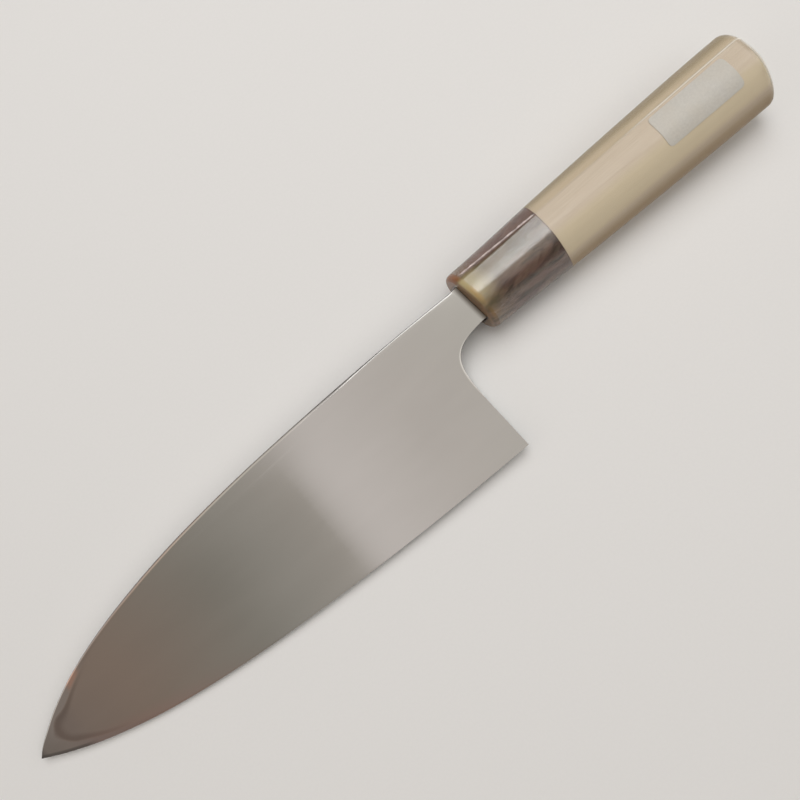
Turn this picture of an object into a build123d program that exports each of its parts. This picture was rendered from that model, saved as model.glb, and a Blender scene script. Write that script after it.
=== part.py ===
from build123d import *
import math
import os

# Deba knife: single-bevel blade with a hollow-ground back, ridged D-section wooden handle, horn ferrule.
# All sizes are in millimetres.
#
# The knife is drawn in its own frame: x = 0 just in front of the ferrule and +x towards the butt, y = 0 on the
# handle's axis and +y towards the spine, z = 0 on the middle plane of the tang and +z out of the hollow back.
# At the end it is laid down as it rests on a table: hollow back up, on the belly of the ferrule's front and on the
# corner between the blade's flat and its bevel, with the edge side rolled down.

# ---- blade ---------------------------------------------------------------------------------------------------
NECK_THICKNESS = 8.5        # blade thickness at the neck and the heel
BACK_Z = NECK_THICKNESS / 2  # height of the plane that the rim of the back lies in
FLAT_TAPER = 0.01667        # loss of thickness per mm over the plane part of the front's flat
FLAT_START_X = -1.0         # the neck is of even thickness from the tang to here
FLAT_END_X = -123.3         # the flat is one plane from there to here, then it curves up to the tip
TAIL_LENGTH = 105.0         # length of the curved part
TAIL_2, TAIL_5 = 0.9, 2.55  # extra thickness lost over it: a square term and a fifth-power term
BEVEL_SLOPE = 0.33          # rise of the cutting bevel per mm of width (18.3 degrees)
EDGE_LAND = 0.12            # height of the blunted cutting edge
CHOIL_EASE = 0.80           # largest width of the eased edge in the choil, on the back's side
SPINE_EASE = 0.30           # chamfer along both corners of the spine

SPINE = [(-226.53, -25.59), (-222.79, -22.04), (-218.20, -18.98), (-213.62, -16.20), (-209.05, -13.80),
         (-201.44, -10.42), (-193.85, -7.63), (-186.27, -5.27), (-174.94, -2.37), (-159.90, 0.63), (-141.20, 3.42),
         (-118.91, 5.58), (-96.79, 6.92), (-74.84, 7.62), (-53.05, 7.98), (-31.42, 8.03), (-13.50, 7.75),
         (0.0, 7.38)]
EDGE = [(-226.53, -25.59), (-222.76, -27.44), (-218.15, -29.66), (-213.55, -31.58), (-205.13, -34.76),
        (-193.70, -38.17), (-182.32, -41.00), (-170.98, -43.19), (-155.93, -45.48), (-140.96, -47.28),
        (-118.66, -49.20), (-96.53, -50.50), (-74.57, -51.44), (-52.77, -52.00), (-31.15, -52.14),
        (-13.70, -52.15)]
HEEL = [(-13.70, -52.15), (-14.12, -41.00), (-14.64, -28.80), (-14.62, -23.60), (-14.30, -19.40),
        (-13.62, -16.10), (-12.60, -13.65), (-11.00, -11.60), (-8.75, -9.98), (-5.50, -8.76), (-1.20, -7.98),
        (2.06, -7.61)]
NECK_BOTTOM_Y = -7.61
NECK_TOP_Y = 7.38

# Hollow of the back, by the inner border of the flat rim: x, upper y, lower y
HOLLOW = [(-217.3, -22.57, -22.57), (-215.0, -19.2, -26.3), (-209.3, -16.75, -30.6), (-201.4, -13.2, -34.2),
          (-193.0, -9.4, -36.95), (-178.0, -4.7, -40.9), (-158.0, -0.5, -44.4), (-118.0, 4.25, -48.6),
          (-79.0, 6.10, -50.65), (-39.5, 6.70, -51.45), (-14.0, 6.40, -51.5), (10.0, 5.9, -51.5)]
HOLLOW_X0 = -217.3          # front end of the hollow
HOLLOW_R_TIP = 250.0        # radius of the dish across the blade, near the tip
HOLLOW_R_HEEL = 700.0       # and over the middle and the heel
HOLLOW_NECK_SHARE = 0.35    # the hollow runs out towards the neck: this share of its depth is left there

# ---- tang ----------------------------------------------------------------------------------------------------
NECK_IN = 8.0               # x where the full neck ends, inside the ferrule
TANG_END_X = 106.0
TANG_H0, TANG_H1 = 12.4, 6.4   # tang height at the shoulder and near its end
TANG_T0, TANG_T1 = 5.2, 2.6    # tang thickness there
BURN_GAP = 0.45             # resin all round the tang
BURN_EXTRA = 3.0            # empty end of the burned hole beyond the tang, filled with resin
SEAL_RECESS = 0.8           # the resin seal stands this far back in the ferrule's slot
SHOULDER_GAP = 0.4          # resin between the neck's shoulder and the end of the wooden spigot
SLOT_GAP = 0.30             # gap between neck and ferrule slot

# ---- handle --------------------------------------------------------------------------------------------------
HANDLE_LENGTH = 131.2       # x of the butt
FERRULE_LENGTH = 39.65      # x of the joint between ferrule and grip
FRONT_X = 2.75              # the ferrule's front face is cut a little askew: it crosses the axis here,
FRONT_DY = -0.10            # runs back by this per mm away from the spine
FRONT_DZ = 0.15             # and by this per mm upwards
FRONT_BLEND_X = 9.5         # from here on the sections stand square to the axis
SPIGOT_D = 17.6             # turned spigot of the grip inside the ferrule
FERRULE_EASE = 2.0          # rounding of the ferrule's front rim
BUTT_EASE = 3.0             # rounding of the butt
# x, half height, thickness on the back's side, thickness on the front's side
STATIONS = [(0.0, 12.65, 11.90, 10.70), (20.0, 13.12, 12.20, 10.90), (40.0, 13.82, 12.50, 11.15),
            (60.0, 14.33, 12.80, 11.40), (80.0, 14.76, 13.10, 11.60), (100.0, 15.08, 13.40, 11.80),
            (116.0, 15.22, 13.62, 11.92), (131.2, 15.20, 13.80, 12.00)]
RIDGE_Y = 0.62              # ridge, as a share of the half height
RIDGE_Z = 0.80              # and of the thickness on that side
RIDGE_BLEND = 0.035         # half width of the ridge's rounding, as a share of the half height
STRIP_SLOPE = 0.86          # slope of the strip on the spine side of the ridge
FACE_SLOPE = 0.40           # slope of the main face at the ridge

# ---- film and sticker ----------------------------------------------------------------------------------------
FILM_T = 0.10
FILM_START = 2.5            # the film begins this far behind the ferrule's front face
FILM_X1 = 127.9
LABEL_T = 0.10
LABEL_X0, LABEL_X1 = 88.6, 121.05
LABEL_Y0, LABEL_Y1 = -4.55, 8.22
LABEL_CORNER_R = 1.7

# ---- how it lies ---------------------------------------------------------------------------------------------
# Found by turning the weighed shape until no lower position of its centre of mass is left on a level table.
REST_PITCH = 1.75           # degrees, tip down
REST_ROLL = 9.60            # degrees, edge down


def interpolate(table, x, column):
    """Smooth value of a table column at x: a natural cubic through the table's points."""
    xs = [row[0] for row in table]
    ys = [row[column] for row in table]
    n = len(xs)
    a = [0.0] * n
    b = [1.0] * n
    c = [0.0] * n
    d = [0.0] * n
    for i in range(1, n - 1):
        h0, h1 = xs[i] - xs[i - 1], xs[i + 1] - xs[i]
        a[i], b[i], c[i] = h0, 2 * (h0 + h1), h1
        d[i] = 6 * ((ys[i + 1] - ys[i]) / h1 - (ys[i] - ys[i - 1]) / h0)
    for i in range(1, n):
        w = a[i] / b[i - 1]
        b[i] -= w * c[i - 1]
        d[i] -= w * d[i - 1]
    m = [0.0] * n
    m[-1] = d[-1] / b[-1]
    for i in range(n - 2, -1, -1):
        m[i] = (d[i] - c[i] * m[i + 1]) / b[i]
    i = 0
    while i < n - 2 and x > xs[i + 1]:
        i += 1
    h = xs[i + 1] - xs[i]
    u = (xs[i + 1] - x) / h
    v = (x - xs[i]) / h
    return u * ys[i] + v * ys[i + 1] + ((u ** 3 - u) * m[i] + (v ** 3 - v) * m[i + 1]) * h * h / 6


def thickness(x):
    """Blade thickness at x, between the plane of the back's rim and the front's flat."""
    if x >= FLAT_END_X:
        return NECK_THICKNESS - FLAT_TAPER * (6.0 - min(x, FLAT_START_X))
    t0 = NECK_THICKNESS - FLAT_TAPER * (6.0 - FLAT_END_X)
    s = (FLAT_END_X - x) / TAIL_LENGTH
    return t0 - FLAT_TAPER * TAIL_LENGTH * s - TAIL_2 * s ** 2 - TAIL_5 * s ** 5


# ---- blade ---------------------------------------------------------------------------------------------------
spine_curve = Spline([(x, y) for x, y in SPINE])
edge_curve = Spline([(x, y) for x, y in EDGE])
heel_curve = Spline([(x, y) for x, y in HEEL])
neck_bottom = Line((2.06, NECK_BOTTOM_Y), (NECK_IN, NECK_BOTTOM_Y))
neck_end = Line((NECK_IN, NECK_BOTTOM_Y), (NECK_IN, NECK_TOP_Y))
neck_top = Line((NECK_IN, NECK_TOP_Y), (0.0, NECK_TOP_Y))
outline = make_face([spine_curve, edge_curve, heel_curve, neck_bottom, neck_end, neck_top])
blade = extrude(Pos(0, 0, BACK_Z - 12) * outline, amount=12)

# the front's flat, tapering towards the tip: everything below it comes off
neck_part = Line((20.0, BACK_Z - thickness(20.0)), (FLAT_START_X, BACK_Z - thickness(20.0)))
flat_part = Line((FLAT_START_X, BACK_Z - thickness(FLAT_START_X)), (FLAT_END_X, BACK_Z - thickness(FLAT_END_X)))
share2 = [0.0, 0.0, 0.1, 0.3, 0.6, 1.0]    # Bezier heights of s squared, in a curve of degree 5
share5 = [0.0, 0.0, 0.0, 0.0, 0.0, 1.0]    # and of s to the fifth
tail = [(FLAT_END_X - TAIL_LENGTH * k / 5,
         BACK_Z - thickness(FLAT_END_X) + FLAT_TAPER * TAIL_LENGTH * k / 5 + TAIL_2 * share2[k] + TAIL_5 * share5[k])
        for k in range(6)]
tail_part = Bezier(*tail)
low = Line(tail[-1], (tail[-1][0], -16.0))
under = Line((tail[-1][0], -16.0), (20.0, -16.0))
close = Line((20.0, -16.0), (20.0, BACK_Z - thickness(20.0)))
taper_face = Plane.XZ * make_face([neck_part, flat_part, tail_part, low, under, close])
blade -= extrude(taper_face, amount=80, both=True)

# the cutting bevel: a ruled surface from outside the edge to under the spine
edge_points = [edge_curve @ (k / 24) for k in range(25)]
edge_dirs = [edge_curve % (k / 24) for k in range(25)]
first, last = edge_points[0], edge_points[-1]
edge_points = [first - edge_dirs[0] * 12] + edge_points + [last + edge_dirs[-1] * 16]
edge_dirs = [edge_dirs[0]] + edge_dirs + [edge_dirs[-1]]
outer, inner = [], []
for p, d in zip(edge_points, edge_dirs):
    normal = Vector(-d.Y, d.X, 0)     # towards the spine
    outer.append(p - normal * 4 + Vector(0, 0, BACK_Z - EDGE_LAND + 4 * BEVEL_SLOPE))
    inner.append(p + normal * 34 + Vector(0, 0, BACK_Z - EDGE_LAND - 34 * BEVEL_SLOPE))
bevel = Face.make_surface_from_curves(Spline(outer), Spline(inner))
blade -= Solid.extrude(bevel, Vector(0, 0, -24))

# the hollow of the back: a shallow dish whose zero line is the inner border of the rim
rows = []
for i in range(33):
    x = -236.0 + i * (246.0 / 32)
    k = (x - HOLLOW_X0) / 207.0
    if x < HOLLOW_X0:
        half2, middle = (x - HOLLOW_X0) * 5.0, HOLLOW[0][1]
    else:
        top_y = interpolate([(a, b) for a, b, c in HOLLOW], x, 1)
        low_y = interpolate([(a, c) for a, b, c in HOLLOW], x, 1)
        half2, middle = ((top_y - low_y) / 2) ** 2, (top_y + low_y) / 2
    radius = HOLLOW_R_TIP + (HOLLOW_R_HEEL - HOLLOW_R_TIP) * min(1.0, max(0.0, k * 1.6))
    fade = 1.0
    if x > -40:
        s = min(1.0, (x + 40) / 44)
        fade = 1 - (1 - HOLLOW_NECK_SHARE) * s * s * (3 - 2 * s)
    row = []
    for j in range(15):
        y = -58.0 + j * 5.0
        row.append(Vector(x, y, BACK_Z - fade * (half2 - (y - middle) ** 2) / (2 * radius)))
    rows.append(row)
dish = Face.make_surface_from_array_of_points(rows, tol=1e-3, min_deg=3, max_deg=3)
blade -= Solid.extrude(dish, Vector(0, 0, 12))


# eased corners: each is cut by a ruled surface at 45 degrees that runs out of the metal at its ends
def ease_cutter(points, normals, heights, eases, side):
    """Cutter for a chamfer along points. normals point out of the metal, side is 1 on the back and -1 on the front."""
    reach = 2.0
    outside, inside = [], []
    for p, n, z, e in zip(points, normals, heights, eases):
        a, b = p + n * reach, p - n * reach
        outside.append(Vector(a.X, a.Y, z - side * (e + reach)))
        inside.append(Vector(b.X, b.Y, z - side * (e - reach)))
    return Solid.extrude(Face.make_surface_from_curves(Spline(outside), Spline(inside)), Vector(0, 0, side * 12))


def smooth(s):
    s = min(1.0, max(0.0, s))
    return s * s * (3 - 2 * s)


spine_points = [spine_curve @ (k / 40) for k in range(41)] + [Vector(9.0, NECK_TOP_Y, 0)]
spine_dirs = [spine_curve % (k / 40) for k in range(41)] + [Vector(1, 0, 0)]
spine_normals = [Vector(-d.Y, d.X, 0) for d in spine_dirs]
back_ease = [SPINE_EASE * (1.6 * smooth((p.X + 222.0) / 20.0) - 0.6) for p in spine_points]
front_ease = [SPINE_EASE * (1.6 * smooth((p.X + 212.0) / 30.0) - 0.6) for p in spine_points]
back_ease = [min(e, SPINE_EASE) for e in back_ease]
front_ease = [min(e, SPINE_EASE) for e in front_ease]
blade -= ease_cutter(spine_points, spine_normals, [BACK_Z] * len(spine_points), back_ease, 1)
blade -= ease_cutter(spine_points, spine_normals, [BACK_Z - thickness(p.X) for p in spine_points],
                     front_ease, -1)

choil_points = [heel_curve @ (0.42 + 0.58 * k / 24) for k in range(25)]
choil_dirs = [heel_curve % (0.42 + 0.58 * k / 24) for k in range(25)]
choil_normals = [Vector(d.Y, -d.X, 0) for d in choil_dirs]
choil_ease = [CHOIL_EASE * (1.25 * math.sin(math.pi * k / 24) ** 0.8 - 0.25) for k in range(25)]
choil_top = BACK_Z - 0.06 * HOLLOW_NECK_SHARE
blade -= ease_cutter(choil_points, choil_normals, [choil_top] * 25, choil_ease, 1)


def box_section(x, height, thick):
    """Upright rectangle across x, on the axis."""
    return Plane(origin=(x, 0, 0), x_dir=(0, 1, 0), z_dir=(1, 0, 0)) * RectangleRounded(height, thick, min(0.8, thick / 4))


def tang_shape(grow, x0, x1):
    """The tapering tang, or the hole burned for it when grow is more than 0."""
    return loft([box_section(x0, TANG_H0 + 2 * grow, TANG_T0 + 2 * grow),
                 box_section(x1, TANG_H1 + 2 * grow, TANG_T1 + 2 * grow)])


tang = tang_shape(0.0, NECK_IN - 1.0, TANG_END_X)
blade = blade + tang
blade = blade.solids().sort_by(SortBy.VOLUME)[-1]


# ---- handle --------------------------------------------------------------------------------------------------
def station_size(x):
    return [interpolate(STATIONS, x, k) for k in (1, 2, 3)]


def d_section(x, grow=0.0, askew=False):
    """Closed D section with one ridge across the handle at x: six Bezier arcs. Askew, it runs along the front face."""
    half, up, down = [v + grow for v in station_size(x)]
    ry, rz = RIDGE_Y * half, RIDGE_Z * up
    bl = RIDGE_BLEND * half
    on_strip = (ry + bl, rz - STRIP_SLOPE * bl)
    on_face = (ry - bl, rz + FACE_SLOPE * bl)
    top_y = 0.02 * half
    arcs = [
        [(half, 0.0), (half, 0.33 * up), (on_strip[0] + 0.20 * half, on_strip[1] - STRIP_SLOPE * 0.20 * half), on_strip],
        [on_strip, (ry, rz), on_face],
        [on_face, (on_face[0] - 0.18 * half, on_face[1] + FACE_SLOPE * 0.18 * half), (top_y + 0.20 * half, up),
         (top_y, up)],
        [(top_y, up), (top_y - 0.42 * half, up), (-half, 0.42 * up), (-half, 0.0)],
        [(-half, 0.0), (-half, -0.55 * down), (-0.55 * half, -down), (0.0, -down)],
        [(0.0, -down), (0.55 * half, -down), (half, -0.55 * down), (half, 0.0)]]
    dy, dz = (FRONT_DY, FRONT_DZ) if askew else (0.0, 0.0)
    return make_face([Bezier(*[(x + dy * y + dz * z, y, z) for y, z in arc]) for arc in arcs])


def d_body(x0, x1, grow=0.0):
    """The handle's outer shape between x0 and x1."""
    xs = [x0] + [s[0] for s in STATIONS if x0 + 4 < s[0] < x1 - 4] + [x1]
    return loft([d_section(x, grow) for x in xs])


def cylinder_x(d, x0, x1):
    return extrude(Plane(origin=(x0, 0, 0), x_dir=(0, 1, 0), z_dir=(1, 0, 0)) * Circle(d / 2), amount=x1 - x0)


def eased_end(pairs):
    """Eased end of the handle: ruled between sections that are drawn in step by step."""
    return loft([d_section(x, -inset) for x, inset in pairs], ruled=True)


def front_body(grow=0.0):
    """The stretch between the askew front and the first square section."""
    return loft([d_section(FRONT_X + FERRULE_EASE, grow, True), d_section(FRONT_BLEND_X, grow)], ruled=True)


def ahead_of_front(back):
    """Everything in front of the plane that lies this far behind the ferrule's front face."""
    x = FRONT_X + back
    corners = [(x + FRONT_DY * y + FRONT_DZ * z, y, z) for y, z in ((-30, -30), (30, -30), (30, 30), (-30, 30))]
    return Solid.extrude(make_face(Polyline(*corners, close=True)).faces()[0], Vector(-40, 0, 0))


back_x = HANDLE_LENGTH - BUTT_EASE
front_rim = loft([d_section(FRONT_X + FERRULE_EASE * k, -FERRULE_EASE * inset, True)
                  for k, inset in ((0.0, 0.9), (0.13, 0.5), (0.5, 0.13), (1.0, 0.0))], ruled=True)
ferrule = d_body(FRONT_BLEND_X, FERRULE_LENGTH) + front_body() + front_rim
handle = d_body(FERRULE_LENGTH, back_x) + \
    eased_end([(back_x, 0.0), (back_x + BUTT_EASE * 0.5, BUTT_EASE * 0.13), (back_x + BUTT_EASE * 0.87, BUTT_EASE * 0.5),
               (HANDLE_LENGTH, BUTT_EASE * 0.9)])
whole = ferrule + handle

# the spigot inside the ferrule, and the slot for the neck in the ferrule's front
spigot_x = NECK_IN + SHOULDER_GAP
ferrule -= cylinder_x(SPIGOT_D, spigot_x, FERRULE_LENGTH + 1)
handle += cylinder_x(SPIGOT_D, spigot_x, FERRULE_LENGTH + 2)
neck_mid_y = (NECK_TOP_Y + NECK_BOTTOM_Y) / 2
neck_h = NECK_TOP_Y - NECK_BOTTOM_Y
slot = Pos((spigot_x - 2) / 2, neck_mid_y, 0) * Box(spigot_x + 2, neck_h + 2 * SLOT_GAP, NECK_THICKNESS + 2 * SLOT_GAP)
ferrule -= slot

# the hole burned for the tang, and the resin that fills it
burn = tang_shape(BURN_GAP, NECK_IN - 1.0, TANG_END_X) + \
    extrude(box_section(TANG_END_X, TANG_H1 + 2 * BURN_GAP, TANG_T1 + 2 * BURN_GAP), amount=BURN_EXTRA)
handle -= burn
seal = Pos(spigot_x / 2, neck_mid_y, 0) * Box(spigot_x, neck_h + 2 * SLOT_GAP, NECK_THICKNESS + 2 * SLOT_GAP)
burn_in_wood = burn - Pos(spigot_x - 5, 0, 0) * Box(10, 40, 40)
bedding = (seal - ahead_of_front(SEAL_RECESS)) + burn_in_wood - blade

# ---- film and sticker ----------------------------------------------------------------------------------------
skin1 = d_body(FRONT_BLEND_X, FILM_X1, FILM_T) + front_body(FILM_T) - ahead_of_front(FILM_START)
film = skin1 - whole
label_outline = Pos((LABEL_X0 + LABEL_X1) / 2, (LABEL_Y0 + LABEL_Y1) / 2, 0) * \
    RectangleRounded(LABEL_X1 - LABEL_X0, LABEL_Y1 - LABEL_Y0, LABEL_CORNER_R)
label_prism = extrude(label_outline, amount=30)
label = (d_body(FRONT_BLEND_X, FILM_X1, FILM_T + LABEL_T) & label_prism) - skin1

# ---- lay it down and write it --------------------------------------------------------------------------------
pieces = {"blade": blade, "ferrule": ferrule, "handle": handle, "tang_bedding": bedding, "handle_film": film,
          "label": label}
tilt = Rotation(REST_ROLL, -REST_PITCH, 0)
laid = {name: tilt * piece for name, piece in pieces.items()}
low_z = min(p.bounding_box().min.Z for p in laid.values())
min_x = min(p.bounding_box().min.X for p in laid.values())
max_x = max(p.bounding_box().max.X for p in laid.values())
min_y = min(p.bounding_box().min.Y for p in laid.values())
max_y = max(p.bounding_box().max.Y for p in laid.values())
shift = Pos(-(min_x + max_x) / 2, -(min_y + max_y) / 2, -low_z)
print("shift", -(min_x + max_x) / 2, -(min_y + max_y) / 2, -low_z)

os.makedirs("parts", exist_ok=True)
for name, piece in laid.items():
    placed = shift * piece
    solids = placed.solids()
    print(name, "solids", len(solids), "valid", placed.is_valid, "volume", round(placed.volume, 2))
    export_step(placed, f"parts/{name}.step")
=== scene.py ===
import bpy
import math
import numpy as np
from mathutils import Matrix, Vector
from mathutils.geometry import delaunay_2d_cdt


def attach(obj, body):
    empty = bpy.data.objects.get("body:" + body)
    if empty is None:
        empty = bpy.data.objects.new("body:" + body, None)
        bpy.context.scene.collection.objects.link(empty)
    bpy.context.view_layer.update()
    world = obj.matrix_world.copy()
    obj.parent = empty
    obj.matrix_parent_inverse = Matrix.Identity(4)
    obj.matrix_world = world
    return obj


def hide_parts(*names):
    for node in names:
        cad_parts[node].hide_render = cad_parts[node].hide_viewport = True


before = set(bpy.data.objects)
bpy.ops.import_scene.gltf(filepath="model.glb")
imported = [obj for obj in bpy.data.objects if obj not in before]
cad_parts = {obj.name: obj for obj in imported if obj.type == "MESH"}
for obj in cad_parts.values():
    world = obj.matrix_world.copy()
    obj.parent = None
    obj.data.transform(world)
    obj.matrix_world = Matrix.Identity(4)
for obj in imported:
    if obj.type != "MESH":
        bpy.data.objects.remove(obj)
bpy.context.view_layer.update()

# ---- the knife's own frame ---------------------------------------------------------------------------------------
# Lengths below are in millimetres in the frame the knife was drawn in: x = 0 just before the ferrule, +x to the butt,
# +y to the spine, +z out of the hollow back. place() takes them to the row's frame, in metres.
PITCH, ROLL = math.radians(1.75), math.radians(9.60)
SHIFT = np.array([47.56565886137713, 18.705589066207708, 10.882822367751055])
RX = np.array([[1, 0, 0], [0, math.cos(ROLL), -math.sin(ROLL)], [0, math.sin(ROLL), math.cos(ROLL)]])
RY = np.array([[math.cos(PITCH), 0, -math.sin(PITCH)], [0, 1, 0], [math.sin(PITCH), 0, math.cos(PITCH)]])
TURN = RX @ RY


def place(p):
    return (np.asarray(p, float) @ TURN.T + SHIFT) / 1000.0


def turned(v):
    return np.asarray(v, float) @ TURN.T


# ---- camera ------------------------------------------------------------------------------------------------------
cam_at = place([-21.86, -10.15, 312.94])
look = turned([-0.05408, 0.0, -0.99854])
phi = math.radians(40.337)
across, along = np.array([0.99854, 0.0, -0.05408]), np.array([0.0, 1.0, 0.0])
cam_right = turned(math.cos(phi) * across - math.sin(phi) * along)
cam_up = turned(math.sin(phi) * across + math.cos(phi) * along)
cam_data = bpy.data.cameras.new("camera")
cam_data.lens = 38.7
cam_data.sensor_width = 36.0
cam_data.clip_start = 0.01
cam_data.clip_end = 50.0
camera = bpy.data.objects.new("camera", cam_data)
m = Matrix.Identity(4)
for r in range(3):
    m[r][0], m[r][1], m[r][2], m[r][3] = cam_right[r], cam_up[r], -look[r], cam_at[r]
camera.matrix_world = m
bpy.context.scene.collection.objects.link(camera)
bpy.context.scene.camera = camera


# ---- curves and surfaces of the knife ----------------------------------------------------------------------------
def natural(ts, vs, t):
    """Natural cubic through (ts, vs), at the values t."""
    ts, vs, t = np.asarray(ts, float), np.asarray(vs, float), np.asarray(t, float)
    n = len(ts)
    a, b, c, d = np.zeros(n), np.ones(n), np.zeros(n), np.zeros(n)
    for i in range(1, n - 1):
        h0, h1 = ts[i] - ts[i - 1], ts[i + 1] - ts[i]
        a[i], b[i], c[i] = h0, 2 * (h0 + h1), h1
        d[i] = 6 * ((vs[i + 1] - vs[i]) / h1 - (vs[i] - vs[i - 1]) / h0)
    for i in range(1, n):
        w = a[i] / b[i - 1]
        b[i] -= w * c[i - 1]
        d[i] -= w * d[i - 1]
    k = np.zeros(n)
    k[-1] = d[-1] / b[-1]
    for i in range(n - 2, -1, -1):
        k[i] = (d[i] - c[i] * k[i + 1]) / b[i]
    i = np.clip(np.searchsorted(ts, t) - 1, 0, n - 2)
    h = ts[i + 1] - ts[i]
    u, v = (ts[i + 1] - t) / h, (t - ts[i]) / h
    return u * vs[i] + v * vs[i + 1] + ((u ** 3 - u) * k[i] + (v ** 3 - v) * k[i + 1]) * h * h / 6


def through(points, spacing):
    """Evenly spaced points along a smooth curve through the given points."""
    p = np.array(points, float)
    t = np.concatenate([[0], np.cumsum(np.hypot(*(p[1:] - p[:-1]).T))])
    fine = np.linspace(0, t[-1], 4000)
    q = np.stack([natural(t, p[:, 0], fine), natural(t, p[:, 1], fine)], 1)
    s = np.concatenate([[0], np.cumsum(np.hypot(*(q[1:] - q[:-1]).T))])
    n = max(2, int(round(s[-1] / spacing)))
    w = np.linspace(0, s[-1], n + 1)
    return np.stack([np.interp(w, s, q[:, 0]), np.interp(w, s, q[:, 1])], 1)


SPINE = [(-226.53, -25.59), (-222.79, -22.04), (-218.20, -18.98), (-213.62, -16.20), (-209.05, -13.80),
         (-201.44, -10.42), (-193.85, -7.63), (-186.27, -5.27), (-174.94, -2.37), (-159.90, 0.63), (-141.20, 3.42),
         (-118.91, 5.58), (-96.79, 6.92), (-74.84, 7.62), (-53.05, 7.98), (-31.42, 8.03), (-13.50, 7.75),
         (0.0, 7.38)]
EDGE = [(-226.53, -25.59), (-222.76, -27.44), (-218.15, -29.66), (-213.55, -31.58), (-205.13, -34.76),
        (-193.70, -38.17), (-182.32, -41.00), (-170.98, -43.19), (-155.93, -45.48), (-140.96, -47.28),
        (-118.66, -49.20), (-96.53, -50.50), (-74.57, -51.44), (-52.77, -52.00), (-31.15, -52.14),
        (-13.70, -52.15)]
HEEL = [(-13.70, -52.15), (-14.12, -41.00), (-14.64, -28.80), (-14.62, -23.60), (-14.30, -19.40),
        (-13.62, -16.10), (-12.60, -13.65), (-11.00, -11.60), (-8.75, -9.98), (-5.50, -8.76), (-1.20, -7.98),
        (2.06, -7.61)]
HOLLOW = [(-217.3, -22.57, -22.57), (-215.0, -19.2, -26.3), (-209.3, -16.75, -30.6), (-201.4, -13.2, -34.2),
          (-193.0, -9.4, -36.95), (-178.0, -4.7, -40.9), (-158.0, -0.5, -44.4), (-118.0, 4.25, -48.6),
          (-79.0, 6.10, -50.65), (-39.5, 6.70, -51.45), (-14.0, 6.40, -51.5), (10.0, 5.9, -51.5)]
HOLLOW_X0, HOLLOW_R_TIP, HOLLOW_R_HEEL, HOLLOW_NECK_SHARE = -217.3, 250.0, 700.0, 0.35
NECK_THICKNESS, FLAT_TAPER, FLAT_START_X, FLAT_END_X = 8.5, 0.01667, -1.0, -123.3
TAIL_LENGTH, TAIL_2, TAIL_5 = 105.0, 0.9, 2.55
BEVEL_SLOPE, EDGE_LAND = 0.33, 0.12
BACK_Z = NECK_THICKNESS / 2
NECK_IN = 8.0


def smooth(s):
    s = np.clip(s, 0.0, 1.0)
    return s * s * (3 - 2 * s)


def thickness(x):
    x = np.asarray(x, float)
    flat = NECK_THICKNESS - FLAT_TAPER * (6.0 - np.minimum(x, FLAT_START_X))
    t0 = NECK_THICKNESS - FLAT_TAPER * (6.0 - FLAT_END_X)
    s = np.maximum(0.0, (FLAT_END_X - x) / TAIL_LENGTH)
    return np.where(x >= FLAT_END_X, flat, t0 - FLAT_TAPER * TAIL_LENGTH * s - TAIL_2 * s ** 2 - TAIL_5 * s ** 5)


hollow_x = [h[0] for h in HOLLOW]
hollow_up = [h[1] for h in HOLLOW]
hollow_low = [h[2] for h in HOLLOW]


def hollow_parts(x):
    x = np.asarray(x, float)
    up, low = natural(hollow_x, hollow_up, x), natural(hollow_x, hollow_low, x)
    return (up - low) / 2, (up + low) / 2


def hollow_depth(x, y):
    """Depth of the back's hollow, negative outside its border."""
    half, middle = hollow_parts(x)
    half2 = np.where(x < HOLLOW_X0, (x - HOLLOW_X0) * 5.0, half ** 2)
    middle = np.where(x < HOLLOW_X0, HOLLOW[0][1], middle)
    radius = HOLLOW_R_TIP + (HOLLOW_R_HEEL - HOLLOW_R_TIP) * np.clip((x - HOLLOW_X0) / 207.0 * 1.6, 0, 1)
    fade = 1 - (1 - HOLLOW_NECK_SHARE) * smooth((x + 40) / 44)
    return fade * (half2 - (y - middle) ** 2) / (2 * radius)


def back_z(x, y):
    return BACK_Z - np.maximum(0.0, hollow_depth(x, y))


def gradient_normal(f, x, y, side):
    e = 0.02
    gx = (f(x + e, y) - f(x - e, y)) / (2 * e)
    gy = (f(x, y + e) - f(x, y - e)) / (2 * e)
    n = np.stack([-gx, -gy, np.ones_like(gx)], -1) * side
    return n / np.linalg.norm(n, axis=-1, keepdims=True)


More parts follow.
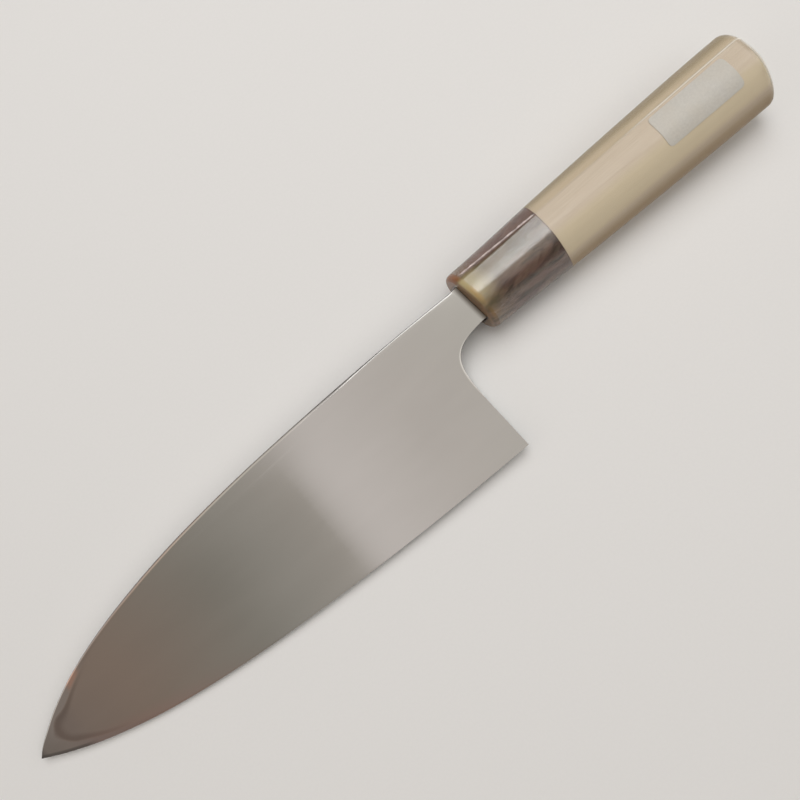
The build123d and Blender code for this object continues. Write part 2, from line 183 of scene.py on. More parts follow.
# ---- mesh building -----------------------------------------------------------------------------------------------
class Shape:
    """Vertices in the knife's frame, faces, a normal for each face corner, and a material index."""

    def __init__(self):
        self.points, self.faces, self.normals, self.index = [], [], [], []
        self.marks = {}         # further numbers for the materials, one for each point

    def add(self, pts):
        first = sum(len(p) for p in self.points)
        pts = np.asarray(pts, float)
        self.points.append(pts)
        return np.arange(first, first + len(pts))

    def face(self, ids, normals, index=0):
        self.faces.append(tuple(int(i) for i in ids))
        self.normals.extend(normals)
        self.index.append(index)

    def build(self, name, node, materials):
        points = np.concatenate(self.points)
        mesh = bpy.data.meshes.new(name)
        mesh.from_pydata([tuple(p) for p in place(points)], [], self.faces)
        for mat in materials:
            mesh.materials.append(mat)
        mesh.polygons.foreach_set("material_index", np.array(self.index, np.int32))
        mesh.polygons.foreach_set("use_smooth", np.ones(len(self.faces), bool))
        local = mesh.attributes.new("local", "FLOAT_VECTOR", "POINT")
        local.data.foreach_set("vector", points.astype(np.float32).ravel())
        for key_name, values in self.marks.items():
            mark = mesh.attributes.new(key_name, "FLOAT", "POINT")
            mark.data.foreach_set("value", np.asarray(values, np.float32))
        mesh.update()
        if self.normals[0] is not None:
            n = turned(np.array(self.normals))
            mesh.normals_split_custom_set([tuple(v) for v in n])
        if mesh.validate(clean_customdata=False):
            print("mesh", name, "was mended by validate")
        o = bpy.data.objects.new(name, mesh)
        bpy.context.scene.collection.objects.link(o)
        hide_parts(node)
        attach(o, "root")
        return o


def strip(shape, a, b, na, nb, index=0, closed=True, flip=False):
    """Quads between two rings of equal length."""
    n = len(a)
    for i in range(n if closed else n - 1):
        j = (i + 1) % n
        ids, nn = [a[i], a[j], b[j], b[i]], [na[i], na[j], nb[j], nb[i]]
        if flip:
            ids, nn = ids[::-1], nn[::-1]
        shape.face(ids, nn, index)


def inside(poly, q):
    """Which of the points q lie in the polygon."""
    x, y = q[:, 0], q[:, 1]
    res = np.zeros(len(q), bool)
    px, py = poly[:, 0], poly[:, 1]
    qx, qy = np.roll(px, -1), np.roll(py, -1)
    for x0, y0, x1, y1 in zip(px, py, qx, qy):
        hit = (y0 > y) != (y1 > y)
        if hit.any():
            with np.errstate(divide="ignore", invalid="ignore"):
                res ^= hit & (x < (x1 - x0) * (y - y0) / (y1 - y0) + x0)
    return res


def distance_to(line, q, closed=False):
    """Distance of the points q from a polyline, in the plane."""
    a = line
    b = np.roll(line, -1, 0) if closed else line[1:]
    a = a if closed else line[:-1]
    best = np.full(len(q), 1e9)
    for p0, p1 in zip(a, b):
        d = p1 - p0
        t = np.clip(((q - p0) @ d) / (d @ d), 0, 1)
        best = np.minimum(best, np.hypot(*(q - p0 - t[:, None] * d).T))
    return best


def crossings(ring, line):
    """Where an open polyline crosses a closed ring: (ring segment, share along it, line segment, share along that)."""
    found = []
    a, b = ring, np.roll(ring, -1, 0)
    for j in range(len(line) - 1):
        p, r = line[j], line[j + 1] - line[j]
        s = b - a
        det = r[0] * s[:, 1] - r[1] * s[:, 0]
        with np.errstate(divide="ignore", invalid="ignore"):
            t = ((a[:, 0] - p[0]) * s[:, 1] - (a[:, 1] - p[1]) * s[:, 0]) / det
            u = ((a[:, 0] - p[0]) * r[1] - (a[:, 1] - p[1]) * r[0]) / det
        for i in np.nonzero((t >= 0) & (t < 1) & (u >= 0) & (u < 1))[0]:
            found.append((int(i), float(u[i]), j, float(t[i])))
    return found


# ---- blade -------------------------------------------------------------------------------------------------------
spine = through(SPINE, 0.9)
edge = through(EDGE, 0.9)
heel = through(HEEL, 0.6)
below = np.stack([np.linspace(2.06, NECK_IN, 8), np.full(8, -7.61)], 1)
end = np.stack([np.full(20, NECK_IN), np.linspace(-7.61, 7.38, 20)], 1)
above = np.stack([np.linspace(NECK_IN, 0.0, 11), np.full(11, 7.38)], 1)
# The outline runs anticlockwise seen from the back: down the edge to the heel, up the heel to the neck, and along
# the spine to the tip.
runs = [edge, heel, below, end, above, spine[::-1]]
outline, run_of = [], []
for k, run in enumerate(runs):
    outline.extend(run[:-1])
    run_of.extend([k] * (len(run) - 1))
outline, run_of = np.array(outline), np.array(run_of)
count = len(outline)
corner = np.zeros(count, bool)
for k in (0, 1, 3, 4):
    corner[np.nonzero(run_of == k)[0][0]] = True
ahead = np.roll(outline, -1, 0) - outline
ahead /= np.hypot(*ahead.T)[:, None]
behind = np.roll(ahead, 1, 0)
n_ahead = np.stack([ahead[:, 1], -ahead[:, 0]], 1)
n_behind = np.stack([behind[:, 1], -behind[:, 0]], 1)
n_mid = n_ahead + n_behind
n_mid /= np.hypot(*n_mid.T)[:, None]
miter = 1.0 / np.maximum(0.6, (n_mid * n_ahead).sum(1))

heel_s = np.zeros(count)
ids = np.nonzero(run_of == 1)[0]
heel_s[ids] = np.linspace(0, 1, len(ids) + 1)[:-1]
x_of = outline[:, 0]
# the eases of the back and front: how far each reaches in from the outline, and how deep it goes
choil = np.clip((heel_s - 0.40) / 0.60, 0, 1)
top_ease = np.select(
    [run_of == 0, run_of == 1, run_of == 5],
    [0.03,
     np.maximum(0.05, 0.90 * np.sin(np.pi * choil) ** 0.8),
     np.maximum(0.05, 0.75 * smooth((x_of + 227.0) / 8.0) + 0.75 * smooth((x_of + 205.0) / 60.0))], 0.05)
top_drop = np.select(
    [run_of == 0, run_of == 1, run_of == 5],
    [0.03, np.maximum(0.05, 0.26 * np.sin(np.pi * choil) ** 0.8),
     np.maximum(0.04, 0.22 * smooth((x_of + 227.0) / 8.0) + 0.20 * smooth((x_of + 205.0) / 60.0))], 0.04)
bottom_ease = np.select(
    [run_of == 0, run_of == 1, run_of == 5],
    [0.03, 0.06, np.maximum(0.04, 0.30 * smooth((x_of + 212.0) / 30.0))], 0.04)
# towards the ferrule the spine's ease narrows again
neck_fade = np.where(run_of == 5, 1 - 0.58 * smooth((x_of + 62.0) / 34.0), 1.0)
top_ease, top_drop = top_ease * neck_fade, top_drop * neck_fade

edge_fine = through(EDGE, 0.3)
t0 = edge_fine[1] - edge_fine[0]
t1 = edge_fine[-1] - edge_fine[-2]
t0, t1 = t0 / np.hypot(*t0), t1 / np.hypot(*t1)
edge_long = np.concatenate([[edge_fine[0] - t0 * 40], edge_fine, [edge_fine[-1] + t1 * 16]])


def front_height(x, y):
    """Height of the bevelled front: the flat, or the bevel where that cuts deeper."""
    q = np.stack([np.ravel(x), np.ravel(y)], 1)
    d = distance_to(edge_long, q).reshape(np.shape(x))
    return np.maximum(BACK_Z - thickness(x), BACK_Z - EDGE_LAND - BEVEL_SLOPE * d)


def flat_z(x, y):
    return BACK_Z - thickness(x)


def bevel_z(x, y):
    q = np.stack([np.ravel(x), np.ravel(y)], 1)
    return BACK_Z - EDGE_LAND - BEVEL_SLOPE * distance_to(edge_long, q).reshape(np.shape(x))


def inset(e):
    return outline - n_mid * (e * miter)[:, None]


ARC = [math.radians(a) for a in (0, 22.5, 45, 67.5, 90)]
rings = []           # each is (xy, height kind, offset from it, tilt of the normal)
for a in ARC:
    rings.append((inset(top_ease * (1 - math.sin(a))), "top", top_drop * (1 - math.cos(a)),
                  np.arctan2(top_ease * math.cos(a), top_drop * math.sin(a))))
for a in ARC[::-1]:
    rings.append((inset(bottom_ease * (1 - math.sin(a))), "bottom", bottom_ease * (1 - math.cos(a)),
                  np.full(count, a - math.pi / 2)))

# the border of the hollow, and the line where the flat meets the bevel
hx = np.concatenate([HOLLOW_X0 + np.linspace(0, 1, 26)[1:] ** 2 * 14.0, np.arange(HOLLOW_X0 + 15.2, 10.0, 1.2), [10.0]])
hh, hm = hollow_parts(hx)
border = np.concatenate([np.stack([hx, hm + hh], 1)[::-1], [[HOLLOW_X0, HOLLOW[0][1]]], np.stack([hx, hm - hh], 1)])
shin = []
dirs = np.gradient(edge_fine, axis=0)
dirs /= np.hypot(*dirs.T)[:, None]
pts = np.concatenate([[edge_fine[0] - t0 * s for s in (6, 4.5, 3, 2, 1)], edge_fine[::4],
                      [edge_fine[-1] + t1 * s for s in (0.5, 1.5, 3)]])
drs = np.concatenate([[t0] * 5, dirs[::4], [t1] * 3])
for p, d in zip(pts, drs):
    n = np.array([-d[1], d[0]])
    w = 20.0
    for _ in range(40):
        w = (float(thickness((p + n * w)[0])) - EDGE_LAND) / BEVEL_SLOPE
    shin.append(p + n * w)
shin = np.array(shin)


def cut_into(line, which):
    """Give every ring a point where the line crosses the ring of that index, and trim the line to those points."""
    global rings, run_of, n_ahead, n_behind, n_mid, corner, top_ease, bottom_ease, outline
    found = sorted(crossings(rings[which][0], line), key=lambda c: (c[2], c[3]))
    first, last = found[0], found[-1]
    out = [line[first[2]] + (line[first[2] + 1] - line[first[2]]) * first[3]]
    out += [line[k] for k in range(first[2] + 1, last[2] + 1)]
    out += [line[last[2]] + (line[last[2] + 1] - line[last[2]]) * last[3]]
    for i, u, _, _ in sorted([first, last], key=lambda c: -c[0]):
        j = (i + 1) % len(outline)
        new = []
        for xy, kind, off, tilt in rings:
            new.append((np.insert(xy, i + 1, xy[i] * (1 - u) + xy[j] * u, 0), kind,
                        np.insert(off, i + 1, off[i] * (1 - u) + off[j] * u),
                        np.insert(tilt, i + 1, tilt[i] * (1 - u) + tilt[j] * u)))
        rings = new
        run_of = np.insert(run_of, i + 1, run_of[i])
        corner = np.insert(corner, i + 1, False)
        side = n_ahead[i]
        n_ahead = np.insert(n_ahead, i + 1, side, 0)
        n_behind = np.insert(n_behind, i + 1, side, 0)
        n_mid = np.insert(n_mid, i + 1, side, 0)
        outline = np.insert(outline, i + 1, outline[i] * (1 - u) + outline[j] * u, 0)
    return np.array(out)


border = cut_into(border, 0)
shin = cut_into(shin, len(rings) - 1)
count = len(outline)


def corner_normals(i, tilt):
    """Normals of the wall and its eases at outline point i: (on the run behind, on the run ahead)."""
    res = []
    for n in (n_behind[i], n_ahead[i]) if corner[i] else (n_mid[i], n_mid[i]):
        res.append((n[0] * math.cos(tilt), n[1] * math.cos(tilt), math.sin(tilt)))
    return res


blade_shape = Shape()
levels = []
for xy, kind, off, tilt in rings:
    if kind == "top":
        z = back_z(xy[:, 0], xy[:, 1]) - off
    else:
        z = front_height(xy[:, 0], xy[:, 1]) + off
    levels.append(np.column_stack([xy, z]))
mid_rows = []
up, low = levels[len(ARC) - 1], levels[len(ARC)]
for s in (0.2, 0.4, 0.6, 0.8):
    mid_rows.append((up * (1 - s) + low * s, np.zeros(count)))
rows = [(levels[i], rings[i][3]) for i in range(len(ARC))] + mid_rows + \
       [(levels[i], rings[i][3]) for i in range(len(ARC), len(rings))]
row_ids = [blade_shape.add(p) for p, _ in rows]
row_normals = [[corner_normals(i, tilt[i]) for i in range(count)] for _, tilt in rows]
for k in range(len(rows) - 1):
    a, b, na, nb = row_ids[k], row_ids[k + 1], row_normals[k], row_normals[k + 1]
    for i in range(count):
        j = (i + 1) % count
        blade_shape.face([a[i], b[i], b[j], a[j]], [na[i][1], nb[i][1], nb[j][0], na[j][0]])


def fill(shape, ring_xy, ring_ids, line, spacing, height, regions, side, index=0):
    """Triangulated face inside a ring, with a crease line across it."""
    lo, hi = ring_xy.min(0), ring_xy.max(0)
    ys = np.arange(lo[1], hi[1], spacing * 0.866)
    grid = []
    for r, y in enumerate(ys):
        xs = np.arange(lo[0] + (r % 2) * spacing / 2, hi[0], spacing)
        grid.append(np.stack([xs, np.full(len(xs), y)], 1))
    grid = np.concatenate(grid)
    grid = grid[inside(ring_xy, grid)]
    grid = grid[distance_to(ring_xy, grid, True) > spacing * 0.42]
    grid = grid[distance_to(line, grid) > spacing * 0.42]
    n_ring, n_line = len(ring_xy), len(line)
    ends = []
    for p in (line[0], line[-1]):
        ends.append(int(np.argmin(np.hypot(*(ring_xy - p).T))))
    verts = [tuple(p) for p in ring_xy] + [tuple(p) for p in line[1:-1]] + [tuple(p) for p in grid]
    chain = [ends[0]] + list(range(n_ring, n_ring + n_line - 2)) + [ends[1]]
    edges = [(i, (i + 1) % n_ring) for i in range(n_ring)] + list(zip(chain[:-1], chain[1:]))
    out_v, _, out_f, orig_v, _, _ = delaunay_2d_cdt([Vector(v) for v in verts], edges, [], 1, 1e-6)
    inner = shape.add(np.column_stack([
        np.array(verts)[n_ring:],
        height(np.array(verts)[n_ring:, 0], np.array(verts)[n_ring:, 1])]))
    ids = np.concatenate([ring_ids, inner])
    back = [o[0] if len(o) else -1 for o in orig_v]
    if min(back) < 0 or len(out_v) != len(verts):
        print("fill: points changed", len(out_v), len(verts), min(back))
    pts2 = np.array(verts)
    tri = np.array([[back[i] for i in f] for f in out_f])
    centre = pts2[tri].mean(1)
    region = regions[0][0](centre[:, 0], centre[:, 1])
    normal = [gradient_normal(f, pts2[:, 0], pts2[:, 1], side) for _, f in regions]
    area = np.cross(pts2[tri[:, 1]] - pts2[tri[:, 0]], pts2[tri[:, 2]] - pts2[tri[:, 0]])
    for f, first, a in zip(tri, region, area):
        if (a > 0) != (side > 0):
            f = f[::-1]
        nn = normal[0] if first else normal[1]
        shape.face(ids[f], [nn[i] for i in f], index)


fill(blade_shape, rings[0][0], row_ids[0], border, 1.5, back_z,
     [(lambda x, y: hollow_depth(x, y) > 0, lambda x, y: BACK_Z - hollow_depth(x, y)),
      (None, lambda x, y: BACK_Z + 0.0 * x)], 1, 0)
fill(blade_shape, rings[-1][0], row_ids[-1], shin, 1.7, front_height,
     [(lambda x, y: bevel_z(x, y) > flat_z(x, y), bevel_z), (None, flat_z)], -1, 0)

# the tang, its own island inside the handle
tang_x = np.linspace(7.0, 106.0, 12)
tang_rings, tang_normals = [], []
for x in tang_x:
    s = (x - 7.0) / 99.0
    hy, hz = (12.4 + (6.4 - 12.4) * s) / 2, (5.2 + (2.6 - 5.2) * s) / 2
    c = min(0.8, hz / 2)
    ring, nrm = [], []
    for cy, cz, a0 in ((hy - c, hz - c, 0), (-hy + c, hz - c, 90), (-hy + c, -hz + c, 180), (hy - c, -hz + c, 270)):
        for a in (0, 30, 60, 90):
            w = math.radians(a0 + a)
            ring.append((x, cy + c * math.cos(w), cz + c * math.sin(w)))
            nrm.append((0.0, math.cos(w), math.sin(w)))
    tang_rings.append(blade_shape.add(ring))
    tang_normals.append(nrm)
for k in range(len(tang_x) - 1):
    strip(blade_shape, tang_rings[k], tang_rings[k + 1], tang_normals[k], tang_normals[k + 1], flip=True)
blade_shape.face(tang_rings[0], [(-1.0, 0.0, 0.0)] * 16)
blade_shape.face(tang_rings[-1][::-1], [(1.0, 0.0, 0.0)] * 16)
blade_points = np.concatenate(blade_shape.points)
blade_shape.marks["hollow"] = hollow_depth(blade_points[:, 0], blade_points[:, 1])
blade_shape.marks["to_edge"] = distance_to(edge_fine[::3], blade_points[:, :2])
eased = np.zeros(len(blade_points))
for k in range(1, len(ARC) + 1):
    eased[row_ids[k]] = run_of == 5
blade_shape.marks["eased"] = eased
blade_shape.marks["bevel"] = bevel_z(blade_points[:, 0], blade_points[:, 1]) - flat_z(blade_points[:, 0], blade_points[:, 1])

# ---- handle: its D section ---------------------------------------------------------------------------------------
STATIONS = [(0.0, 12.65, 11.90, 10.70), (20.0, 13.12, 12.20, 10.90), (40.0, 13.82, 12.50, 11.15),
            (60.0, 14.33, 12.80, 11.40), (80.0, 14.76, 13.10, 11.60), (100.0, 15.08, 13.40, 11.80),
            (116.0, 15.22, 13.62, 11.92), (131.2, 15.20, 13.80, 12.00)]
RIDGE_Y, RIDGE_Z, RIDGE_BLEND, STRIP_SLOPE, FACE_SLOPE = 0.62, 0.80, 0.035, 0.86, 0.40
HANDLE_LENGTH, FERRULE_LENGTH = 131.2, 39.65
FRONT_X, FRONT_DY, FRONT_DZ, FRONT_BLEND_X = 2.75, -0.10, 0.15, 9.5      # the ferrule's front face is a little askew
PARTS = (26, 8, 26, 40, 30, 34)      # points on each of the section's six arcs


def bezier(pts, n):
    pts = np.array(pts, float)
    t = (np.arange(n) / n)[:, None]
    k = len(pts) - 1
    return sum(math.comb(k, i) * (1 - t) ** (k - i) * t ** i * pts[i] for i in range(k + 1))


def section(x, grow=0.0, parts=PARTS):
    """The handle's D section at x, anticlockwise seen from the butt: points (y, z)."""
    half, up, down = [float(natural([s[0] for s in STATIONS], [s[k] for s in STATIONS], x)) + grow for k in (1, 2, 3)]
    ry, rz, bl = RIDGE_Y * half, RIDGE_Z * up, RIDGE_BLEND * half
    on_strip, on_face = (ry + bl, rz - STRIP_SLOPE * bl), (ry - bl, rz + FACE_SLOPE * bl)
    top_y = 0.02 * half
    arcs = [
        [(half, 0.0), (half, 0.33 * up), (on_strip[0] + 0.20 * half, on_strip[1] - STRIP_SLOPE * 0.20 * half), on_strip],
        [on_strip, (ry, rz), on_face],
        [on_face, (on_face[0] - 0.18 * half, on_face[1] + FACE_SLOPE * 0.18 * half), (top_y + 0.20 * half, up),
         (top_y, up)],
        [(top_y, up), (top_y - 0.42 * half, up), (-half, 0.42 * up), (-half, 0.0)],
        [(-half, 0.0), (-half, -0.55 * down), (-0.55 * half, -down), (0.0, -down)],
        [(0.0, -down), (0.55 * half, -down), (half, -0.55 * down), (half, 0.0)]]
    return np.concatenate([bezier(a, n) for a, n in zip(arcs, parts)])


def ring_at(x, grow=0.0, parts=PARTS):
    s = section(x, grow, parts)
    return np.column_stack([np.full(len(s), x), s])


def front_at(y, z, back=0.0):
    return FRONT_X + back + FRONT_DY * y + FRONT_DZ * z


def askew_ring(back, grow=0.0, parts=PARTS):
    s = section(FRONT_X + back, grow, parts)
    return np.column_stack([front_at(s[:, 0], s[:, 1], back), s])


def grid_normals(rows_p, outward=1.0):
    """Smooth normals of a tube given as rows of closed rings."""
    p = np.array(rows_p)
    along_x = np.gradient(p, axis=0)
    round_s = np.roll(p, -1, 1) - np.roll(p, 1, 1)
    n = np.cross(round_s, along_x) * outward
    return n / np.maximum(1e-12, np.linalg.norm(n, axis=-1, keepdims=True))


def tube(shape, rows_p, ids=None, normals=None, flip=False, index=0):
    """Quads along rows of closed rings that run towards +x."""
    if normals is None:
        normals = grid_normals(rows_p, -1.0 if flip else 1.0)
    if ids is None:
        ids = [shape.add(r) for r in rows_p]
    for k in range(len(ids) - 1):
        a, b, na, nb = ids[k], ids[k + 1], normals[k], normals[k + 1]
        n = len(a)
        for i in range(n):
            j = (i + 1) % n
            q, nn = [a[i], a[j], b[j], b[i]], [na[i], na[j], nb[j], nb[i]]
            if flip:
                q, nn = q[::-1], nn[::-1]
            shape.face(q, nn, index)
    return ids


def on_box(ring, y0, y1, z0, z1, x):
    """For each ring point, the point of a rectangle in the same direction, with the rectangle's corners hit."""
    cy, cz = (y0 + y1) / 2, (z0 + z1) / 2
    hy, hz = (y1 - y0) / 2, (z1 - z0) / 2
    d = ring[:, 1:] - [cy, cz]
    s = 1.0 / np.maximum(np.abs(d[:, 0]) / hy, np.abs(d[:, 1]) / hz)
    q = np.column_stack([np.full(len(ring), x), cy + d[:, 0] * s, cz + d[:, 1] * s])
    for sy in (-1, 1):
        for sz in (-1, 1):
            c = np.array([cy + sy * hy, cz + sz * hz])
            q[np.argmin(np.hypot(*(q[:, 1:] - c).T)), 1:] = c
    return q


def on_circle(ring, radius, x):
    a = np.arctan2(ring[:, 2], ring[:, 1])
    return np.column_stack([np.full(len(ring), x), radius * np.cos(a), radius * np.sin(a)])


def flat_strip(shape, a, b, normal, index=0, flip=False):
    n = len(a)
    for i in range(n):
        j = (i + 1) % n
        q = [a[i], a[j], b[j], b[i]]
        shape.face(q[::-1] if flip else q, [normal] * 4, index)


def between(shape, pa, pb, ida, idb, steps, normal, flip=False, index=0):
    """A flat face between two rings, in a few rows."""
    prev = ida
    for k in range(1, steps):
        s = k / steps
        cur = shape.add(pa * (1 - s) + pb * s)
        flat_strip(shape, prev, cur, normal, index, flip)
        prev = cur
    flat_strip(shape, prev, idb, normal, index, flip)


# ---- ferrule -----------------------------------------------------------------------------------------------------
ferrule_shape = Shape()
rim_rows = []
FRONT_R, FRONT_IN = 2.0, 1.85
for k in range(11):
    a = math.radians(90 * k / 10)
    rim_rows.append(askew_ring(FRONT_R * (1 - math.sin(a)), -FRONT_IN * (1 - math.cos(a))))
rim_rows = rim_rows[::-1]
straight = ring_at(FRONT_BLEND_X)
lead_rows = [rim_rows[-1] * (1 - t) + straight * t for t in np.linspace(0, 1, 9)[1:]]
xs = np.linspace(FRONT_BLEND_X, FERRULE_LENGTH - 0.15, 38)[1:]
outer_rows = rim_rows + lead_rows + [ring_at(x) for x in xs] + [ring_at(FERRULE_LENGTH - 0.04, -0.04),
                                                                ring_at(FERRULE_LENGTH, -0.15)]
outer_ids = tube(ferrule_shape, outer_rows)
SLOT = (-7.91, 7.68, -4.55, 4.55)
slot_front = on_box(outer_rows[0], *SLOT, 0.0)
grown = (SLOT[0] - 0.18, SLOT[1] + 0.18, SLOT[2] - 0.18, SLOT[3] + 0.18)
slot_lip = on_box(outer_rows[0], *grown, 0.0)
slot_lip[:, 0] = front_at(slot_lip[:, 1], slot_lip[:, 2])
lip_ids = ferrule_shape.add(slot_lip)
front_normal = np.array([-1.0, FRONT_DY, FRONT_DZ])
front_normal = tuple(front_normal / np.linalg.norm(front_normal))
between(ferrule_shape, outer_rows[0], slot_lip, outer_ids[0], lip_ids, 5, front_normal, flip=True)
lip2 = slot_front.copy()
lip2[:, 0] = front_at(lip2[:, 1], lip2[:, 2], 0.18)
lip2_ids = ferrule_shape.add(lip2)
flat_strip(ferrule_shape, lip_ids, lip2_ids, (-0.9, 0.0, 0.3), flip=True)
slot_back = slot_front.copy()
slot_back[:, 0] = 8.4
slot_ids = ferrule_shape.add(slot_back)


def wall_normals(q, box_, sign):
    y0, y1, z0, z1 = box_
    res = []
    for p in q:
        d = [abs(p[1] - y0), abs(p[1] - y1), abs(p[2] - z0), abs(p[2] - z1)]
        res.append([(0, 1, 0), (0, -1, 0), (0, 0, 1), (0, 0, -1)][int(np.argmin(d))])
    return (np.array(res, float) * sign).tolist()


def walled(shape, pa, ida, idb, box_, index=0, flip=False):
    """Walls of a rectangular hole between two rings, each face with the normal of its own side."""
    y0, y1, z0, z1 = box_
    n = len(ida)
    for i in range(n):
        j = (i + 1) % n
        c = (pa[i] + pa[j]) / 2
        d = [abs(c[1] - y0), abs(c[1] - y1), abs(c[2] - z0), abs(c[2] - z1)]
        nn = [(0.0, 1.0, 0.0), (0.0, -1.0, 0.0), (0.0, 0.0, 1.0), (0.0, 0.0, -1.0)][int(np.argmin(d))]
        q = [ida[i], ida[j], idb[j], idb[i]]
        shape.face(q[::-1] if flip else q, [nn] * 4, index)


walled(ferrule_shape, lip2, lip2_ids, slot_ids, SLOT, flip=True)
BORE_R = 8.8
bore_front = on_circle(outer_rows[0], BORE_R, 8.4)
bore_ids = [ferrule_shape.add(bore_front)]
flat_strip(ferrule_shape, slot_ids, bore_ids[0], (1.0, 0.0, 0.0), flip=True)
bore_rows = [bore_front] + [on_circle(outer_rows[0], BORE_R, x) for x in np.linspace(8.4, FERRULE_LENGTH, 12)[1:]]
bore_ids += [ferrule_shape.add(r) for r in bore_rows[1:]]
bore_normals = [np.column_stack([np.zeros(len(r)), -r[:, 1:] / BORE_R]) for r in bore_rows]
tube(ferrule_shape, bore_rows, bore_ids, bore_normals, flip=True)
between(ferrule_shape, outer_rows[-1], bore_rows[-1], outer_ids[-1], bore_ids[-1], 3, (1.0, 0.0, 0.0))

# ---- wooden handle -----------------------------------------------------------------------------------------------
handle_shape = Shape()
x0 = FERRULE_LENGTH
butt_rows = []
BUTT_R, BUTT_IN = 3.0, 2.7
for k in range(1, 13):
    a = math.radians(90 * k / 12)
    butt_rows.append(ring_at(HANDLE_LENGTH - BUTT_R * (1 - math.sin(a)), -BUTT_IN * (1 - math.cos(a))))
grip_rows = [ring_at(x0, -0.16), ring_at(x0 + 0.04, -0.045)] + \
    [ring_at(x) for x in np.linspace(x0 + 0.16, HANDLE_LENGTH - BUTT_R, 70)] + butt_rows
grip_ids = tube(handle_shape, grip_rows)
# butt face, in rings that shrink to a small patch
last = grip_rows[-1]
prev = grip_ids[-1]
centre = last.mean(0)
for k in range(1, 12):
    cur_p = last * (1 - k / 12) + centre * (k / 12)
    cur = handle_shape.add(cur_p)
    flat_strip(handle_shape, prev, cur, (1.0, 0.0, 0.0))
    prev = cur
mid = handle_shape.add([centre])[0]
for i in range(len(prev)):
    j = (i + 1) % len(prev)
    handle_shape.face([prev[i], prev[j], mid], [(1.0, 0.0, 0.0)] * 3)
SPIGOT_R = 8.79
spigot_rows = [on_circle(grip_rows[0], SPIGOT_R, x) for x in np.linspace(8.42, x0, 12)]
spigot_ids = [handle_shape.add(r) for r in spigot_rows]
between(handle_shape, spigot_rows[-1], grip_rows[0], spigot_ids[-1], grip_ids[0], 3, (-1.0, 0.0, 0.0))
spigot_normals = [np.column_stack([np.zeros(len(r)), r[:, 1:] / SPIGOT_R]) for r in spigot_rows]
tube(handle_shape, spigot_rows, spigot_ids, spigot_normals)


def hole_box(x):
    s = min(1.0, (x - 7.0) / 99.0)
    hy, hz = (12.4 + (6.4 - 12.4) * s) / 2 + 0.45, (5.2 + (2.6 - 5.2) * s) / 2 + 0.45
    return -hy, hy, -hz, hz


hole_xs = np.concatenate([[8.42], np.linspace(16, 106, 10), [109.0]])
hole_rows = [on_box(spigot_rows[0], *hole_box(x), x) for x in hole_xs]
hole_ids = [handle_shape.add(r) for r in hole_rows]
flat_strip(handle_shape, hole_ids[0], spigot_ids[0], (-1.0, 0.0, 0.0))
for k in range(len(hole_rows) - 1):
    walled(handle_shape, hole_rows[k], hole_ids[k], hole_ids[k + 1], hole_box(hole_xs[k]), flip=True)
hole_mid = handle_shape.add([[109.0, 0.0, 0.0]])[0]
for i in range(len(hole_ids[-1])):
    j = (i + 1) % len(hole_ids[-1])
    handle_shape.face([hole_mid, hole_ids[-1][j], hole_ids[-1][i]], [(-1.0, 0.0, 0.0)] * 3)

# ---- film --------------------------------------------------------------------------------------------------------
FILM_START, FILM_X1 = 2.5, 127.9


def waves(n, along_range, around_range, seed):
    r = np.random.default_rng(seed)
    return [(r.uniform(*along_range), r.uniform(*around_range) * r.choice([-1, 1]), r.uniform(0, 2 * math.pi))
            for _ in range(n)]


WAVES = waves(14, (0.05, 0.45), (0.15, 1.1), 3)
FINE_WAVES = waves(10, (0.8, 2.6), (0.3, 1.6), 11)


def crinkle(x, s):
    """Gentle unevenness of the film, -1 to 1, at x along the handle and s round it, both in mm."""
    v = sum(np.sin(a * x + b * s + c) for a, b, c in WAVES) / math.sqrt(len(WAVES) / 2)
    return np.tanh(v * 0.8)


def ripple(x, s):
    v = sum(np.sin(a * x + b * s + c) for a, b, c in FINE_WAVES) / math.sqrt(len(FINE_WAVES) / 2)
    return np.tanh(v * 0.8)


film_shape = Shape()
FILM_PARTS = (84, 14, 34, 46, 34, 34)
film_rows = []                      # pairs of rings: on the handle, and one film thickness above it
lead0, lead1 = askew_ring(FRONT_R, 0.0, FILM_PARTS), askew_ring(FRONT_R, 0.1, FILM_PARTS)
straight0, straight1 = ring_at(FRONT_BLEND_X, 0.0, FILM_PARTS), ring_at(FRONT_BLEND_X, 0.1, FILM_PARTS)
start = ((FILM_START - FRONT_R) / (FRONT_BLEND_X - lead0[:, 0]))[:, None]
for k in range(14):
    t = start + (1 - start) * (k / 14)
    film_rows.append((lead0 * (1 - t) + straight0 * t, lead1 * (1 - t) + straight1 * t))
for x in np.concatenate([np.linspace(FRONT_BLEND_X, 42.0, 80), np.linspace(42.0, FILM_X1, 86)[1:]]):
    film_rows.append((ring_at(x, 0.0, FILM_PARTS), ring_at(x, 0.1, FILM_PARTS)))
